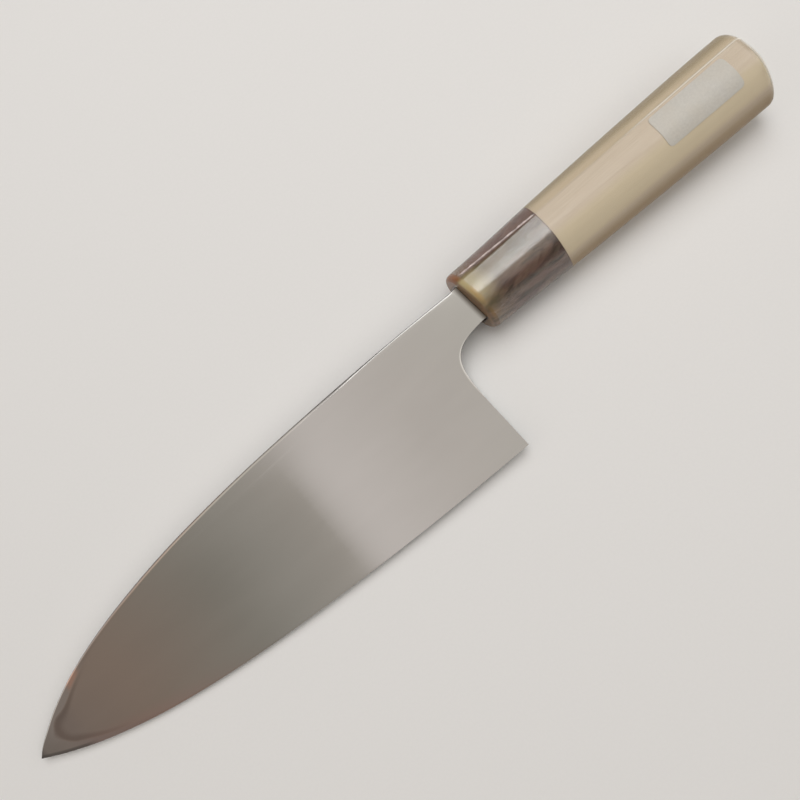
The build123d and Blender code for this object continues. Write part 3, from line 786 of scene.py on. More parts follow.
# it follows the butt's rounding for the first part
for k in range(1, 9):
    a = math.radians(90 - 8.5 * k)
    x, drawn = HANDLE_LENGTH - BUTT_R + BUTT_R * math.cos(a), -BUTT_IN * (1 - math.sin(a))
    film_rows.append((ring_at(x, drawn, FILM_PARTS), ring_at(x + 0.02 * k / 8, drawn + 0.1, FILM_PARTS)))
outer_p, inner_p, weld_marks = [], [], []
for s0, s1 in film_rows:
    step = np.hypot(*(np.roll(s0[:, 1:], -1, 0) - s0[:, 1:]).T)
    run = np.concatenate([[0], np.cumsum(step)[:-1]])
    total = step.sum()
    x = s0[:, 0]
    # the crinkles close up round the section
    w = smooth((run / total - 0.94) / 0.06)
    c = crinkle(x, run) * (1 - w) + crinkle(x, run - total) * w
    f = ripple(x, run) * (1 - w) + ripple(x, run - total) * w
    rim = np.clip(np.minimum(x - front_at(s0[:, 1], s0[:, 2], FILM_START), HANDLE_LENGTH - 0.4 - x) / 1.5, 0, 1)
    lift = 0.62 + 0.22 * c * rim
    # a lengthwise weld stands up on the strip beside the ridge, and runs into the ridge where the wood begins
    along = np.clip((x - 4.0) / (FERRULE_LENGTH - 4.0), 0, 1)
    line_y = 9.75 + (8.95 - 9.75) * along
    beside = np.where(s0[:, 2] > 0, s0[:, 1] - line_y - 0.05 * f, 9.0)
    strength = rim * (1 - smooth((x - FERRULE_LENGTH + 2.0) / 3.0))
    weld = (1.7 + 0.7 * f) * np.exp(-(beside / 0.27) ** 2) * strength
    weld_marks.append(np.clip(np.exp(-(beside / 0.34) ** 2) * strength * (0.9 + 0.25 * f), 0, 1))
    lift = np.clip(lift, 0.25, 0.98) + weld
    outer_p.append(s0 * (1 - lift[:, None]) + s1 * lift[:, None])
    inner_p.append(s0 * 0.85 + s1 * 0.15)
film_outer = tube(film_shape, outer_p)
film_inner = tube(film_shape, inner_p, flip=True)
flat_strip(film_shape, film_inner[0], film_outer[0], (-1.0, 0.0, 0.0))
flat_strip(film_shape, film_outer[-1], film_inner[-1], (1.0, 0.0, 0.0))
weld_marks = np.concatenate(weld_marks)
film_shape.marks["weld"] = np.concatenate([weld_marks, 0.0 * weld_marks])
ridge_at = np.exp(-((np.arange(sum(FILM_PARTS)) - FILM_PARTS[0] - FILM_PARTS[1] / 2) / 5.0) ** 2)
ridge_marks = np.concatenate([ridge_at * smooth((r[:, 0] - FERRULE_LENGTH - 1.0) / 6.0) for r in outer_p])
film_shape.marks["ridge"] = np.concatenate([ridge_marks, 0.0 * ridge_marks])

# ---- sticker -----------------------------------------------------------------------------------------------------
LABEL = (88.6, 121.05, -4.55, 8.22)
LABEL_R = 1.7


def surface_z(x, y, grow):
    """Height of the handle's back over (x, y)."""
    s = section(x, grow, (60, 24, 60, 80, 4, 4))
    keep = s[:60 + 24 + 60 + 70]
    return float(np.interp(y, keep[::-1, 0], keep[::-1, 1]))


label_shape = Shape()
NU, NV = 66, 28
x0l, x1l, y0l, y1l = LABEL
us, vs = np.linspace(0, 1, NU + 1), np.linspace(0, 1, NV + 1)


def rounded(u, v):
    """Unit square to a rectangle with rounded corners: rows keep their count and bend in at the corners."""
    x, y = x0l + (x1l - x0l) * u, y0l + (y1l - y0l) * v
    dx = max(0.0, x0l + LABEL_R - x, x - (x1l - LABEL_R))
    half = (y1l - y0l) / 2
    yc = (y0l + y1l) / 2
    room = half - LABEL_R + math.sqrt(max(0.0, LABEL_R ** 2 - dx ** 2))
    return x, yc + (y - yc) / half * room


lo_p, hi_p = [], []
col_cache = {}
for u in np.concatenate([[0.0, 0.004, 0.012, 0.024, 0.036], us[3:-3], [0.964, 0.976, 0.988, 0.996, 1.0]]):
    for v in vs:
        x, y = rounded(u, v)
        lo_p.append((x, y, surface_z(x, y, 0.105)))
        hi_p.append((x, y, surface_z(x, y, 0.190)))
rows_l = len(lo_p) // (NV + 1)
lo_i, hi_i = label_shape.add(lo_p), label_shape.add(hi_p)
hp = np.array(hi_p).reshape(rows_l, NV + 1, 3)
du, dv = np.gradient(hp, axis=0), np.gradient(hp, axis=1)
nl = np.cross(du, dv)
nl /= np.maximum(1e-12, np.linalg.norm(nl, axis=-1, keepdims=True))
nl = nl.reshape(-1, 3)
at = lambda r, c: r * (NV + 1) + c
for r in range(rows_l - 1):
    for c in range(NV):
        q = [at(r, c), at(r + 1, c), at(r + 1, c + 1), at(r, c + 1)]
        label_shape.face([hi_i[k] for k in q], [nl[k] for k in q])
        label_shape.face([lo_i[k] for k in q[::-1]], [-nl[k] for k in q[::-1]])
loop = [at(r, 0) for r in range(rows_l)] + [at(rows_l - 1, c) for c in range(1, NV + 1)] + \
       [at(r, NV) for r in range(rows_l - 2, -1, -1)] + [at(0, c) for c in range(NV - 1, 0, -1)]
for k in range(len(loop)):
    a, b = loop[k], loop[(k + 1) % len(loop)]
    d = np.array(hi_p[b]) - np.array(hi_p[a])
    n = np.array([d[1], -d[0], 0.0])
    n = n / max(1e-9, np.linalg.norm(n))
    label_shape.face([lo_i[a], lo_i[b], hi_i[b], hi_i[a]], [tuple(n)] * 4)


# ---- materials ---------------------------------------------------------------------------------------------------
def srgb(r, g, b):
    return tuple((c / 255 / 12.92 if c / 255 <= 0.04045 else ((c / 255 + 0.055) / 1.055) ** 2.4) for c in (r, g, b)) + (1.0,)


class Nodes:
    """Short hand for building a node tree."""

    def __init__(self, name):
        self.mat = bpy.data.materials.new(name)
        self.mat.use_nodes = True
        self.tree = self.mat.node_tree
        self.tree.nodes.clear()
        self.out = self.new("ShaderNodeOutputMaterial")

    def new(self, kind, **props):
        n = self.tree.nodes.new(kind)
        for k, v in props.items():
            setattr(n, k, v)
        return n

    def link(self, a, b):
        self.tree.links.new(a, b)

    def put(self, socket, value):
        if isinstance(value, bpy.types.NodeSocket):
            self.link(value, socket)
        else:
            socket.default_value = value

    def local(self):
        n = self.new("ShaderNodeAttribute", attribute_type="GEOMETRY", attribute_name="local")
        return n.outputs["Vector"]

    def mark(self, name):
        n = self.new("ShaderNodeAttribute", attribute_type="GEOMETRY", attribute_name=name)
        return n.outputs["Fac"]

    def scale(self, vec, factors, offset=(0, 0, 0)):
        n = self.new("ShaderNodeMapping")
        n.inputs["Scale"].default_value = factors
        n.inputs["Location"].default_value = offset
        self.link(vec, n.inputs["Vector"])
        return n.outputs["Vector"]

    def noise(self, vec, scale=1.0, detail=4.0, rough=0.55, distortion=0.0, out="Fac"):
        n = self.new("ShaderNodeTexNoise")
        self.link(vec, n.inputs["Vector"])
        n.inputs["Scale"].default_value = scale
        n.inputs["Detail"].default_value = detail
        n.inputs["Roughness"].default_value = rough
        n.inputs["Distortion"].default_value = distortion
        return n.outputs[out]

    def ramp(self, fac, stops, mode="LINEAR"):
        n = self.new("ShaderNodeValToRGB")
        n.color_ramp.interpolation = mode
        self.link(fac, n.inputs["Fac"])
        els = n.color_ramp.elements
        while len(els) < len(stops):
            els.new(0.5)
        for e, (pos, col) in zip(els, stops):
            e.position = pos
            e.color = col if len(col) == 4 else (*col, 1.0)
        return n.outputs["Color"]

    def math(self, op, a, b=0.0, c=0.0, clamp=False):
        n = self.new("ShaderNodeMath", operation=op, use_clamp=clamp)
        self.put(n.inputs[0], a)
        self.put(n.inputs[1], b)
        if len(n.inputs) > 2:
            self.put(n.inputs[2], c)
        return n.outputs[0]

    def span(self, v, a, b, c=0.0, d=1.0, smooth=False):
        n = self.new("ShaderNodeMapRange", clamp=True)
        if smooth:
            n.interpolation_type = "SMOOTHSTEP"
        self.put(n.inputs["Value"], v)
        n.inputs["From Min"].default_value = a
        n.inputs["From Max"].default_value = b
        n.inputs["To Min"].default_value = c
        n.inputs["To Max"].default_value = d
        return n.outputs["Result"]

    def mix(self, fac, a, b, mode="MIX"):
        n = self.new("ShaderNodeMix", data_type="RGBA", blend_type=mode)
        self.put(n.inputs[0], fac)
        self.put(n.inputs[6], a)
        self.put(n.inputs[7], b)
        return n.outputs[2]

    def xyz(self, vec):
        n = self.new("ShaderNodeSeparateXYZ")
        self.link(vec, n.inputs[0])
        return n.outputs

    def bump(self, height, strength, distance, normal=None):
        n = self.new("ShaderNodeBump")
        n.inputs["Strength"].default_value = strength
        n.inputs["Distance"].default_value = distance
        self.link(height, n.inputs["Height"])
        if normal is not None:
            self.link(normal, n.inputs["Normal"])
        return n.outputs["Normal"]

    def principled(self, **values):
        n = self.new("ShaderNodeBsdfPrincipled")
        for k, v in values.items():
            self.put(n.inputs[k.replace("_", " ")], v)
        self.link(n.outputs[0], self.out.inputs["Surface"])
        return n


def steel():
    m = Nodes("blade_steel")
    p = m.local()
    x, y, z = m.xyz(p)
    fine = m.noise(m.scale(p, (0.6, 9.0, 9.0)), 1.0, 5, 0.6)
    soft = m.noise(m.scale(p, (0.02, 0.09, 0.09)), 1.0, 3, 0.5)
    tone = m.mix(m.span(soft, 0.3, 0.7), (0.555, 0.542, 0.52, 1), (0.58, 0.567, 0.545, 1))
    # near the tip the border round the hollow gets a painted highlight, a brighter tone, and a painted shade, a darker
    # line just inside it
    depth, to_edge = m.mark("hollow"), m.mark("to_edge")
    tipward = m.span(x, -188.0, -206.0, 0.0, 1.0, True)
    on_back = m.span(z, 3.2, 3.9)
    spine_half = m.span(y, -27.0, -21.0, 0.35, 0.95, True)
    border = m.math("MULTIPLY", m.math("MULTIPLY", m.span(depth, -0.006, 0.006, 1.0, 0.0, True), on_back), tipward)
    inner = m.math("MULTIPLY", m.span(depth, 0.0, 0.02, 0.0, 1.0, True), m.span(depth, 0.03, 0.075, 1.0, 0.0, True))
    inner = m.math("MULTIPLY", m.math("MULTIPLY", inner, tipward), on_back)
    tone = m.mix(m.math("MULTIPLY", border, spine_half), tone, (0.70, 0.72, 0.71, 1))
    tone = m.mix(m.math("MULTIPLY", inner, 0.42), tone, (0.25, 0.215, 0.195, 1))
    # a faint warm tint along the edge near the tip, and beside the spine a painted reflection: a warm bright patch
    warm = m.math("MULTIPLY", m.span(to_edge, 0.5, 6.0, 1.0, 0.0, True),
                  m.math("MULTIPLY", m.span(x, -120.0, -180.0, 0.0, 0.4, True), m.span(x, -214.0, -206.0)))
    warm = m.math("MULTIPLY", warm, on_back)
    tone = m.mix(warm, tone, (0.62, 0.50, 0.50, 1))
    painted_reflection_patch = m.math("MULTIPLY", m.span(x, -203.0, -199.5, 0.0, 1.0, True), m.span(x, -197.0, -192.5, 1.0, 0.0, True))
    painted_reflection_patch = m.math("MULTIPLY", painted_reflection_patch, m.math("MULTIPLY", m.span(depth, -0.035, 0.02, 1.0, 0.0, True), m.span(y, -16.0, -13.0)))
    painted_reflection_patch = m.math("MULTIPLY", painted_reflection_patch, m.span(z, 3.95, 4.15))
    tone = m.mix(m.math("MULTIPLY", painted_reflection_patch, 0.75), tone, (0.98, 0.70, 0.58, 1))
    tone = m.mix(m.span(x, -222.0, -214.0, 0.55, 0.0, True), tone, (0.50, 0.52, 0.50, 1))
    tone = m.mix(m.span(x, -226.3, -222.5, 0.75, 0.0, True), tone, (0.24, 0.25, 0.26, 1))
    lip = m.math("MULTIPLY", m.span(to_edge, 0.7, 1.5, 1.0, 0.0, True), m.span(x, -204.0, -211.0, 0.0, 0.65, True))
    tone = m.mix(m.math("MULTIPLY", lip, on_back), tone, (0.20, 0.215, 0.215, 1))
    # on the front the flat above the bevel is duller than the bevel
    above = m.math("MULTIPLY", m.span(m.mark("bevel"), -0.03, 0.01, 1.0, 0.0, True), m.span(z, 0.5, 1.5, 1.0, 0.0))
    tone = m.mix(m.math("MULTIPLY", above, 0.5), tone, (0.46, 0.45, 0.435, 1))
    # painted shade: the spine's ease is darkened next to the handle, damping its highlight
    painted_ease_shade = m.math("MULTIPLY", m.mark("eased"), m.math("ADD", m.span(x, -74.0, -52.0, 0.0, 0.5, True), m.span(x, -50.0, -38.0, 0.0, 0.3, True)))
    tone = m.mix(painted_ease_shade, tone, (0.135, 0.133, 0.128, 1))
    # painted shade: the neck darkens into the joint with the ferrule
    painted_joint_shade = m.math("SUBTRACT", m.math("ADD", m.math("ADD", m.math("MULTIPLY", y, -0.10), m.math("MULTIPLY", z, 0.15)), 2.75), x)
    tone = m.mix(m.span(painted_joint_shade, 0.0, 2.3, 0.86, 0.0, True), tone, (0.085, 0.062, 0.045, 1))
    spineward = m.span(y, -12.0, 6.0, 0.0, 0.045, True)
    rough = m.math("ADD", m.span(fine, 0.25, 0.75, 0.075, 0.09), m.span(soft, 0.3, 0.7, -0.006, 0.010))
    rough = m.math("ADD", m.math("ADD", rough, spineward), m.math("MULTIPLY", above, 0.10))
    normal = m.bump(fine, 0.02, 0.00001)
    m.principled(Base_Color=tone, Metallic=1.0, Roughness=rough, Normal=normal)
    return m.mat


def wood():
    m = Nodes("handle_wood")
    p = m.local()
    wob = m.noise(m.scale(p, (0.008, 0.06, 0.06)), 1.0, 3, 0.5, out="Color")
    shift = m.new("ShaderNodeVectorMath", operation="SCALE")
    m.link(wob, shift.inputs[0])
    shift.inputs["Scale"].default_value = 5.0
    add = m.new("ShaderNodeVectorMath", operation="ADD")
    m.link(p, add.inputs[0])
    m.link(shift.outputs[0], add.inputs[1])
    x, y, z = m.xyz(add.outputs[0])
    dy, dz = m.math("ADD", y, 46.0), m.math("ADD", z, 78.0)
    rad = m.math("SQRT", m.math("ADD", m.math("MULTIPLY", dy, dy), m.math("MULTIPLY", dz, dz)))
    ring = m.math("FRACT", m.math("DIVIDE", rad, 2.3))
    ring_tone = m.ramp(ring, [(0.0, (0.62, 0.62, 0.62)), (0.55, (0.52, 0.52, 0.52)), (0.86, (0.30, 0.30, 0.30)),
                              (0.97, (0.10, 0.10, 0.10)), (1.0, (0.62, 0.62, 0.62))])
    fibre = m.noise(m.scale(p, (0.035, 2.6, 2.6)), 1.0, 6, 0.65)
    thin = m.noise(m.scale(p, (0.09, 7.0, 7.0)), 1.0, 3, 0.6)
    large = m.noise(m.scale(p, (0.012, 0.10, 0.10)), 1.0, 2, 0.5)
    base = m.mix(m.span(fibre, 0.3, 0.72), srgb(205, 189, 168), srgb(216, 202, 184))
    end = m.span(m.xyz(p)[0], 130.9, 131.15)
    base = m.mix(m.math("MULTIPLY", m.span(ring_tone, 0.05, 0.6, 0.20, 0.0), m.math("ADD", m.math("MULTIPLY", end, 2.4), 1.0)),
                 base, srgb(184, 161, 133))
    base = m.mix(m.math("MULTIPLY", end, 0.35), base, srgb(178, 156, 128))
    base = m.mix(m.span(large, 0.35, 0.7, 0.0, 0.25), base, srgb(209, 193, 177))
    base = m.mix(m.span(thin, 0.62, 0.78, 0.0, 0.20), base, srgb(180, 155, 127))
    px_, py_, pz_ = m.xyz(p)
    # painted shade and light: the underside is darkened, and a band of the lower side is lightened and yellowed
    painted_underside_shade = m.math("MULTIPLY", m.span(py_, -13.5, -8.0, 1.0, 0.0, True), m.span(pz_, 3.0, 10.5, 1.0, 0.35, True))
    painted_lower_side_light = m.math("MULTIPLY", m.span(py_, -11.0, -9.0, 0.0, 1.0, True), m.span(py_, -3.0, 1.5, 1.0, 0.0, True))
    # these painted shade and light tones stay on the sides, off the sawn end
    side = m.span(px_, 130.0, 131.0, 1.0, 0.0, True)
    base = m.mix(m.math("MULTIPLY", side, m.math("MULTIPLY", painted_lower_side_light, 0.6)), base, srgb(223, 209, 177))
    base = m.mix(m.math("MULTIPLY", side, m.math("MULTIPLY", painted_underside_shade, 0.80)), base, srgb(150, 122, 78))
    # painted shade: the ridge and the strip past it, towards the spine, darker and yellower
    base = m.mix(m.math("MULTIPLY", side, m.span(py_, 8.6, 9.8, 0.0, 0.45, True)), base, srgb(203, 185, 150))
    base = m.mix(m.math("MULTIPLY", side, m.span(py_, 10.4, 13.3, 0.0, 0.68, True)), base, srgb(150, 134, 104))
    rough = m.span(fibre, 0.3, 0.7, 0.62, 0.48)
    normal = m.bump(fibre, 0.14, 0.00012)
    normal = m.bump(thin, 0.12, 0.00006, normal)
    m.principled(Base_Color=base, Roughness=rough, Normal=normal, Specular_IOR_Level=0.35)
    return m.mat


def horn():
    m = Nodes("horn")
    p = m.local()
    big = m.noise(m.scale(p, (0.045, 0.13, 0.13), (3, 1, 0)), 1.0, 5, 0.58, 0.7)
    mid = m.noise(m.scale(p, (0.075, 0.46, 0.46)), 1.0, 5, 0.58, 0.35)
    fine = m.noise(m.scale(p, (0.25, 2.2, 2.2)), 1.0, 4, 0.6)
    base = m.ramp(big, [(0.30, srgb(52, 42, 36)), (0.44, srgb(80, 60, 50)), (0.54, srgb(122, 98, 84)),
                        (0.64, srgb(70, 55, 47)), (0.78, srgb(126, 108, 90))])
    base = m.mix(m.span(mid, 0.42, 0.66, 0.0, 0.5), base, srgb(104, 72, 66))
    base = m.mix(m.span(mid, 0.32, 0.46, 0.5, 0.0), base, srgb(44, 36, 31))
    base = m.mix(m.span(fine, 0.48, 0.75, 0.0, 0.22), base, srgb(150, 126, 104))
    x, y, z = m.xyz(p)
    # behind the front the horn pales; at the joint round the blade it gets a dark painted shade, and amber only at two
    # of its corners
    behind = m.math("SUBTRACT", x, m.math("ADD", m.math("ADD", m.math("MULTIPLY", y, -0.10), m.math("MULTIPLY", z, 0.15)), 2.75))
    pale = m.math("MULTIPLY", m.span(behind, 0.1, 0.8, 0.0, 1.0, True), m.span(behind, 3.0, 12.0, 1.0, 0.0, True))
    pale = m.math("MULTIPLY", pale, m.math("MULTIPLY", m.span(y, -8.0, 3.0, 0.12, 0.85, True), m.span(y, 7.0, 9.5, 1.0, 0.35, True)))
    # painted reflection: a creamy band on the main face below the ridge, fading towards the wood
    painted_face_reflection = m.math("MULTIPLY", m.span(y, -2.5, 3.5, 0.0, 1.0, True), m.span(y, 7.6, 8.8, 1.0, 0.0, True))
    painted_face_reflection = m.math("MULTIPLY", painted_face_reflection, m.math("MULTIPLY", m.span(behind, 6.0, 36.0, 0.62, 0.25, True), m.span(fine, 0.3, 0.7, 0.8, 1.0)))
    base = m.mix(painted_face_reflection, base, srgb(134, 124, 92))
    base = m.mix(pale, base, srgb(186, 172, 130))
    honey = m.math("MULTIPLY", m.span(behind, 0.2, 1.2, 0.0, 0.48, True), m.span(behind, 1.6, 4.0, 1.0, 0.0, True))
    honey = m.math("MULTIPLY", honey, m.math("MULTIPLY", m.span(y, -5.0, 0.0, 0.0, 1.0, True), m.span(y, 2.0, 6.5, 1.0, 0.0, True)))
    base = m.mix(honey, base, srgb(180, 144, 86))
    base = m.mix(m.span(behind, 0.02, 0.9, 0.85, 0.0, True), base, srgb(148, 120, 88))
    base = m.mix(m.math("MULTIPLY", m.span(y, 9.0, 10.5, 0.0, 0.35, True), m.span(z, 0.0, 3.0)), base, srgb(120, 66, 58))
    # painted shade: the front face is darkened beside the slot's corners, where the blade enters
    beside = m.math("MULTIPLY", m.span(m.math("ABSOLUTE", z), 4.7, 5.9, 1.0, 0.0, True), m.span(m.math("ABSOLUTE", y), 7.8, 9.0, 1.0, 0.0, True))
    base = m.mix(m.math("MULTIPLY", beside, m.span(behind, 0.05, 0.6, 0.92, 0.0, True)), base, srgb(44, 32, 22))
    corner_up = m.math("MULTIPLY", m.span(y, 7.4, 9.4, 0.0, 1.0, True), m.span(behind, 0.8, 3.8, 0.8, 0.0, True))
    corner_up = m.math("MULTIPLY", corner_up, m.span(z, -5.0, 3.0, 0.25, 1.0, True))
    base = m.mix(corner_up, base, srgb(140, 84, 42))
    near = m.math("MULTIPLY", m.span(y, -11.0, -8.6, 0.0, 1.0, True), m.span(y, -7.4, -4.8, 1.0, 0.0, True))
    corner_low = m.math("MULTIPLY", near, m.math("MULTIPLY", m.span(behind, 0.5, 2.0, 0.0, 0.45, True),
                                                 m.span(behind, 2.6, 6.0, 1.0, 0.0, True)))
    base = m.mix(corner_low, base, srgb(150, 118, 68))
    rough = m.span(fine, 0.3, 0.7, 0.18, 0.28)
    m.principled(Base_Color=base, Roughness=rough, Normal=m.bump(mid, 0.12, 0.0002),
                 Subsurface_Weight=0.12, Subsurface_Radius=(0.006, 0.0025, 0.001), Subsurface_Scale=0.4)
    return m.mat


def film():
    m = Nodes("clear_film")
    p = m.local()
    x, y, z = m.xyz(p)
    n1 = m.noise(m.scale(p, (0.25, 0.8, 0.8)), 1.0, 4, 0.6, 0.6)
    normal = m.bump(n1, 0.25, 0.0003)
    glossy = m.new("ShaderNodeBsdfGlossy")
    m.link(m.math("ADD", m.math("SUBTRACT", m.span(x, 39.0, 40.2, 0.19, 0.52, True), m.span(x, 127.0, 128.4, 0.0, 0.32, True)),
                  m.span(n1, 0.3, 0.7, -0.02, 0.03)),
           glossy.inputs["Roughness"])
    m.link(normal, glossy.inputs["Normal"])
    clear = m.new("ShaderNodeBsdfTransparent")
    clear.inputs["Color"].default_value = (0.985, 0.985, 0.98, 1)
    facing = m.new("ShaderNodeLayerWeight")
    facing.inputs["Blend"].default_value = 0.5
    m.link(normal, facing.inputs["Normal"])
    edge_on = m.math("POWER", facing.outputs["Facing"], 5.0)
    mix = m.new("ShaderNodeMixShader")
    plain = m.math("ADD", m.math("MULTIPLY", edge_on, 0.22), m.span(x, 38.8, 40.4, 0.055, 0.022, True))
    plain = m.math("ADD", plain, m.math("MULTIPLY", m.mark("ridge"), 0.05))
    plain = m.math("ADD", plain, m.span(x, 127.4, 129.4, 0.0, 0.04, True), clamp=True)
    m.link(plain, mix.inputs[0])
    m.link(clear.outputs[0], mix.inputs[1])
    m.link(glossy.outputs[0], mix.inputs[2])
    # painted highlights, given as milky film: the weld's puckers, the stretched film on the ridge and the gathers round
    # the butt
    grain = m.noise(m.scale(p, (1.9, 4.0, 4.0)), 1.0, 4, 0.7)
    painted_weld_highlight = m.new("ShaderNodeBsdfDiffuse")
    painted_weld_highlight.inputs["Color"].default_value = (0.86, 0.72, 0.70, 1)
    pale = m.new("ShaderNodeBsdfDiffuse")
    pale.inputs["Color"].default_value = (0.90, 0.86, 0.78, 1)
    # painted highlight along the ridge near the butt and round the butt's rim
    painted_ridge_rim_highlight = m.math("MULTIPLY", m.mark("ridge"), m.span(x, 70.0, 96.0, 0.0, 0.62, True))
    painted_ridge_rim_highlight = m.math("ADD", painted_ridge_rim_highlight, m.math("MULTIPLY", m.span(x, 129.3, 130.3, 0.0, 0.45, True), m.span(z, -8.0, 4.0, 0.35, 1.0, True)), clamp=True)
    over = m.new("ShaderNodeMixShader")
    m.link(painted_ridge_rim_highlight, over.inputs[0])
    m.link(mix.outputs[0], over.inputs[1])
    m.link(pale.outputs[0], over.inputs[2])
    # painted highlight along the weld
    whole = m.new("ShaderNodeMixShader")
    m.link(m.math("MULTIPLY", m.mark("weld"), m.span(grain, 0.40, 0.56, 0.28, 1.0, True)), whole.inputs[0])
    m.link(over.outputs[0], whole.inputs[1])
    m.link(painted_weld_highlight.outputs[0], whole.inputs[2])
    m.link(whole.outputs[0], m.out.inputs["Surface"])
    return m.mat


def paper():
    m = Nodes("label_paper")
    p = m.local()
    fibre = m.noise(m.scale(p, (1.2, 1.2, 1.2)), 1.0, 6, 0.65)
    cloud = m.noise(m.scale(p, (0.12, 0.12, 0.12)), 1.0, 2, 0.5)
    base = m.mix(m.span(fibre, 0.3, 0.7), srgb(190, 187, 180), srgb(202, 199, 192))
    base = m.mix(m.span(cloud, 0.35, 0.7, 0.0, 0.3), base, srgb(198, 189, 172))
    m.principled(Base_Color=base, Roughness=m.span(fibre, 0.3, 0.7, 0.42, 0.5), Normal=m.bump(fibre, 0.2, 0.00005))
    return m.mat


def resin():
    m = Nodes("bedding_resin")
    geo = m.new("ShaderNodeTexCoord")
    n1 = m.noise(m.scale(geo.outputs["Object"], (300, 300, 300)), 1.0, 3, 0.5)
    base = m.mix(m.span(n1, 0.35, 0.65), srgb(58, 34, 16), srgb(92, 54, 24))
    m.principled(Base_Color=base, Roughness=m.span(n1, 0.3, 0.7, 0.25, 0.4), Normal=m.bump(n1, 0.3, 0.0002))
    return m.mat


steel_mat, wood_mat, horn_mat, film_mat, paper_mat, resin_mat = steel(), wood(), horn(), film(), paper(), resin()
blade_shape.build("blade_finished", "blade", [steel_mat])
ferrule_shape.build("ferrule_finished", "ferrule", [horn_mat])
handle_shape.build("handle_finished", "handle", [wood_mat])
film_shape.build("film_finished", "handle_film", [film_mat])
label_shape.build("sticker_finished", "label", [paper_mat])
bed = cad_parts["tang_bedding"]
for s in bed.material_slots:
    s.material = resin_mat
if not bed.material_slots:
    bed.data.materials.append(resin_mat)

# ---- floor and light ---------------------------------------------------------------------------------------------
floor_mesh = bpy.data.meshes.new("floor")
n = 24
fv, ff = [], []
for i in range(n + 1):
    for j in range(n + 1):
        fv.append(((i / n - 0.5) * 6.0, (j / n - 0.5) * 6.0, 0.0))
for i in range(n):
    for j in range(n):
        a = i * (n + 1) + j
        ff.append((a, a + n + 1, a + n + 2, a + 1))
floor_mesh.from_pydata(fv, [], ff)
floor = bpy.data.objects.new("floor", floor_mesh)
bpy.context.scene.collection.objects.link(floor)
fm = Nodes("floor")
tc = fm.new("ShaderNodeTexCoord")
fnoise = fm.noise(fm.scale(tc.outputs["Object"], (900, 900, 900)), 1.0, 2, 0.5)
fm.principled(Base_Color=fm.mix(fm.span(fnoise, 0.3, 0.7), (0.795, 0.793, 0.788, 1), (0.805, 0.803, 0.798, 1)), Roughness=0.8)
floor_mesh.materials.append(fm.mat)

scene = bpy.context.scene
scene.view_settings.view_transform = "Standard"
world = bpy.data.worlds.new("studio")
scene.world = world
world.use_nodes = True
wt = world.node_tree
wt.nodes.clear()
w_out = wt.nodes.new("ShaderNodeOutputWorld")
w_bg = wt.nodes.new("ShaderNodeBackground")


def world_math(op, a, b):
    n = wt.nodes.new("ShaderNodeMath")
    n.operation = op
    for k, v in enumerate((a, b)):
        if isinstance(v, bpy.types.NodeSocket):
            wt.links.new(v, n.inputs[k])
        else:
            n.inputs[k].default_value = v
    return n.outputs[0]


def along_axis(axis):
    n = wt.nodes.new("ShaderNodeVectorMath")
    n.operation = "DOT_PRODUCT"
    wt.links.new(w_tc.outputs["Generated"], n.inputs[0])
    n.inputs[1].default_value = [float(c) for c in axis]
    return n.outputs["Value"]


# The studio round the knife is bright overhead and towards the butt, and falls off in two steps towards the tip.
w_tc = wt.nodes.new("ShaderNodeTexCoord")
w_up = world_math("MAXIMUM", along_axis(turned([0, 0, 1])), 0.05)
w_lean = world_math("DIVIDE", along_axis(turned([1, 0, 0])), w_up)
w_ramp = wt.nodes.new("ShaderNodeValToRGB")
w_share = world_math("DIVIDE", world_math("ADD", w_lean, 1.6), 2.0)
wt.links.new(w_share, w_ramp.inputs["Fac"])
SKY = [(-1.50, (0.40, 0.38, 0.36)), (-0.80, (0.28, 0.235, 0.21)), (-0.60, (0.25, 0.20, 0.175)),
       (-0.50, (0.32, 0.245, 0.20)), (-0.36, (0.32, 0.30, 0.265)), (-0.295, (0.41, 0.39, 0.355)),
       (-0.2095, (0.50, 0.465, 0.425)), (-0.1965, (0.80, 0.755, 0.73)), (-0.165, (0.86, 0.81, 0.785)),
       (-0.05, (0.73, 0.685, 0.648)), (0.10, (0.69, 0.668, 0.617)), (0.24, (1.12, 1.08, 1.02))]
while len(w_ramp.color_ramp.elements) < len(SKY):
    w_ramp.color_ramp.elements.new(0.5)
for e, (lean, colour) in zip(w_ramp.color_ramp.elements, SKY):
    e.position = (lean + 1.6) / 2.0
    e.color = (*colour, 1.0)
wt.links.new(w_ramp.outputs["Color"], w_bg.inputs["Color"])


def world_span(v, a, b, c, d):
    n = wt.nodes.new("ShaderNodeMapRange")
    n.interpolation_type = "SMOOTHSTEP"
    wt.links.new(v, n.inputs["Value"])
    for key_name, value in zip(("From Min", "From Max", "To Min", "To Max"), (a, b, c, d)):
        n.inputs[key_name].default_value = value
    return n.outputs["Result"]


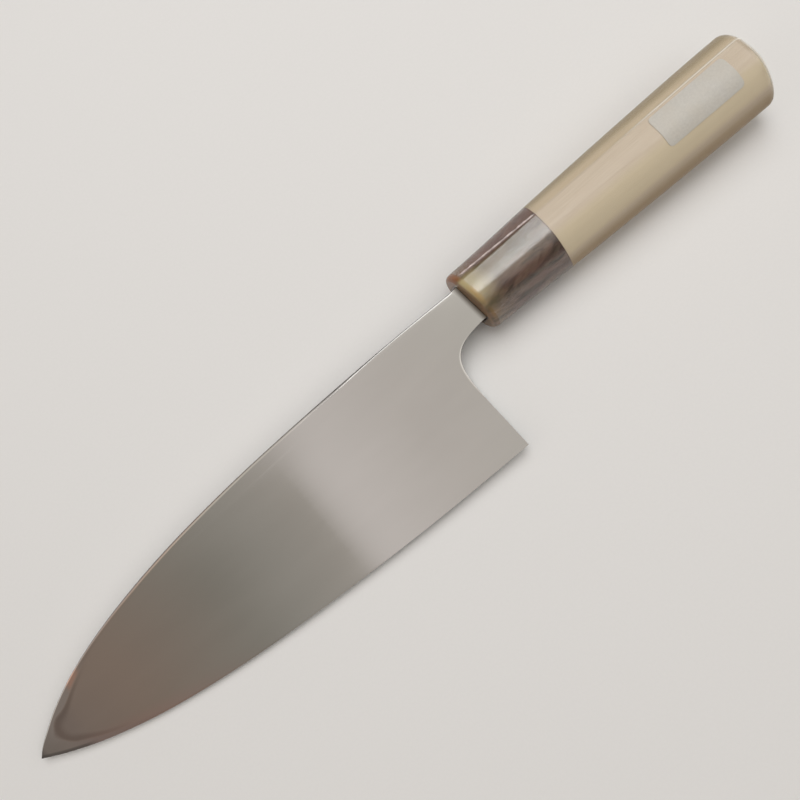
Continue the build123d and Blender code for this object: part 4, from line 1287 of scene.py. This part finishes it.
# It falls off towards both sides, more so past the edge; past the spine a long bright wall stands beside the blade.
w_side = world_math("DIVIDE", along_axis(turned([0, 1, 0])), w_up)
w_falloff = world_math("MULTIPLY", world_span(w_side, -1.10, -0.40, 0.10, 1.0), world_span(w_side, 0.40, 1.2, 1.0, 0.10))
w_falloff = world_math("MULTIPLY", w_falloff, world_span(w_lean, 1.2, 3.0, 1.0, 0.35))
w_wall = world_math("MULTIPLY", world_math("MULTIPLY", world_span(w_side, 0.16, 0.28, 0.0, 1.0),
                                           world_span(w_side, 1.3, 2.2, 1.0, 0.0)),
                    world_span(w_lean, -0.06, 0.06, 1.0, 0.0))
w_wall = world_math("MULTIPLY", w_wall, world_span(w_lean, -0.40, -0.15, 1.4, 0.22))
w_strength = world_math("ADD", w_falloff, w_wall)
w_low = world_span(along_axis([0.0, 0.0, 1.0]), 0.10, 0.26, 1.0, 0.0)
w_strength = world_math("ADD", world_math("MULTIPLY", w_strength, world_math("SUBTRACT", 1.0, w_low)),
                        world_math("MULTIPLY", w_low, 0.6))
wt.links.new(w_strength, w_bg.inputs["Strength"])
# Seen past the floor, the studio is a plain pale wall.
w_wall_bg = wt.nodes.new("ShaderNodeBackground")
w_wall_bg.inputs["Color"].default_value = (0.56, 0.55, 0.535, 1.0)
w_mix = wt.nodes.new("ShaderNodeMixShader")
wt.links.new(wt.nodes.new("ShaderNodeLightPath").outputs["Is Camera Ray"], w_mix.inputs[0])
wt.links.new(w_bg.outputs[0], w_mix.inputs[1])
wt.links.new(w_wall_bg.outputs[0], w_mix.inputs[2])
wt.links.new(w_mix.outputs[0], w_out.inputs["Surface"])


def softbox(name, at, towards, size_x, size_y, radiance, colour=(1, 1, 1)):
    """Rectangular area light; radiance is its surface brightness."""
    light = bpy.data.lights.new(name, "AREA")
    light.shape = "RECTANGLE"
    light.size, light.size_y = size_x, size_y
    light.energy = radiance * math.pi * size_x * size_y
    light.color = colour
    o = bpy.data.objects.new(name, light)
    at, towards = Vector(at), Vector(towards)
    o.location = at
    o.rotation_euler = (at - towards).to_track_quat("Z", "Y").to_euler()
    scene.collection.objects.link(o)
    return o


key = 900.0
lean_0, lean_1 = math.tan(math.radians(1.1)), math.tan(math.radians(47.5))
softbox("key", place([250, 5 + key * (lean_0 + lean_1) / 2, key]), place([60, 5, 0]), 0.6,
        key / 1000 * (lean_1 - lean_0) * 0.92, 3.0)
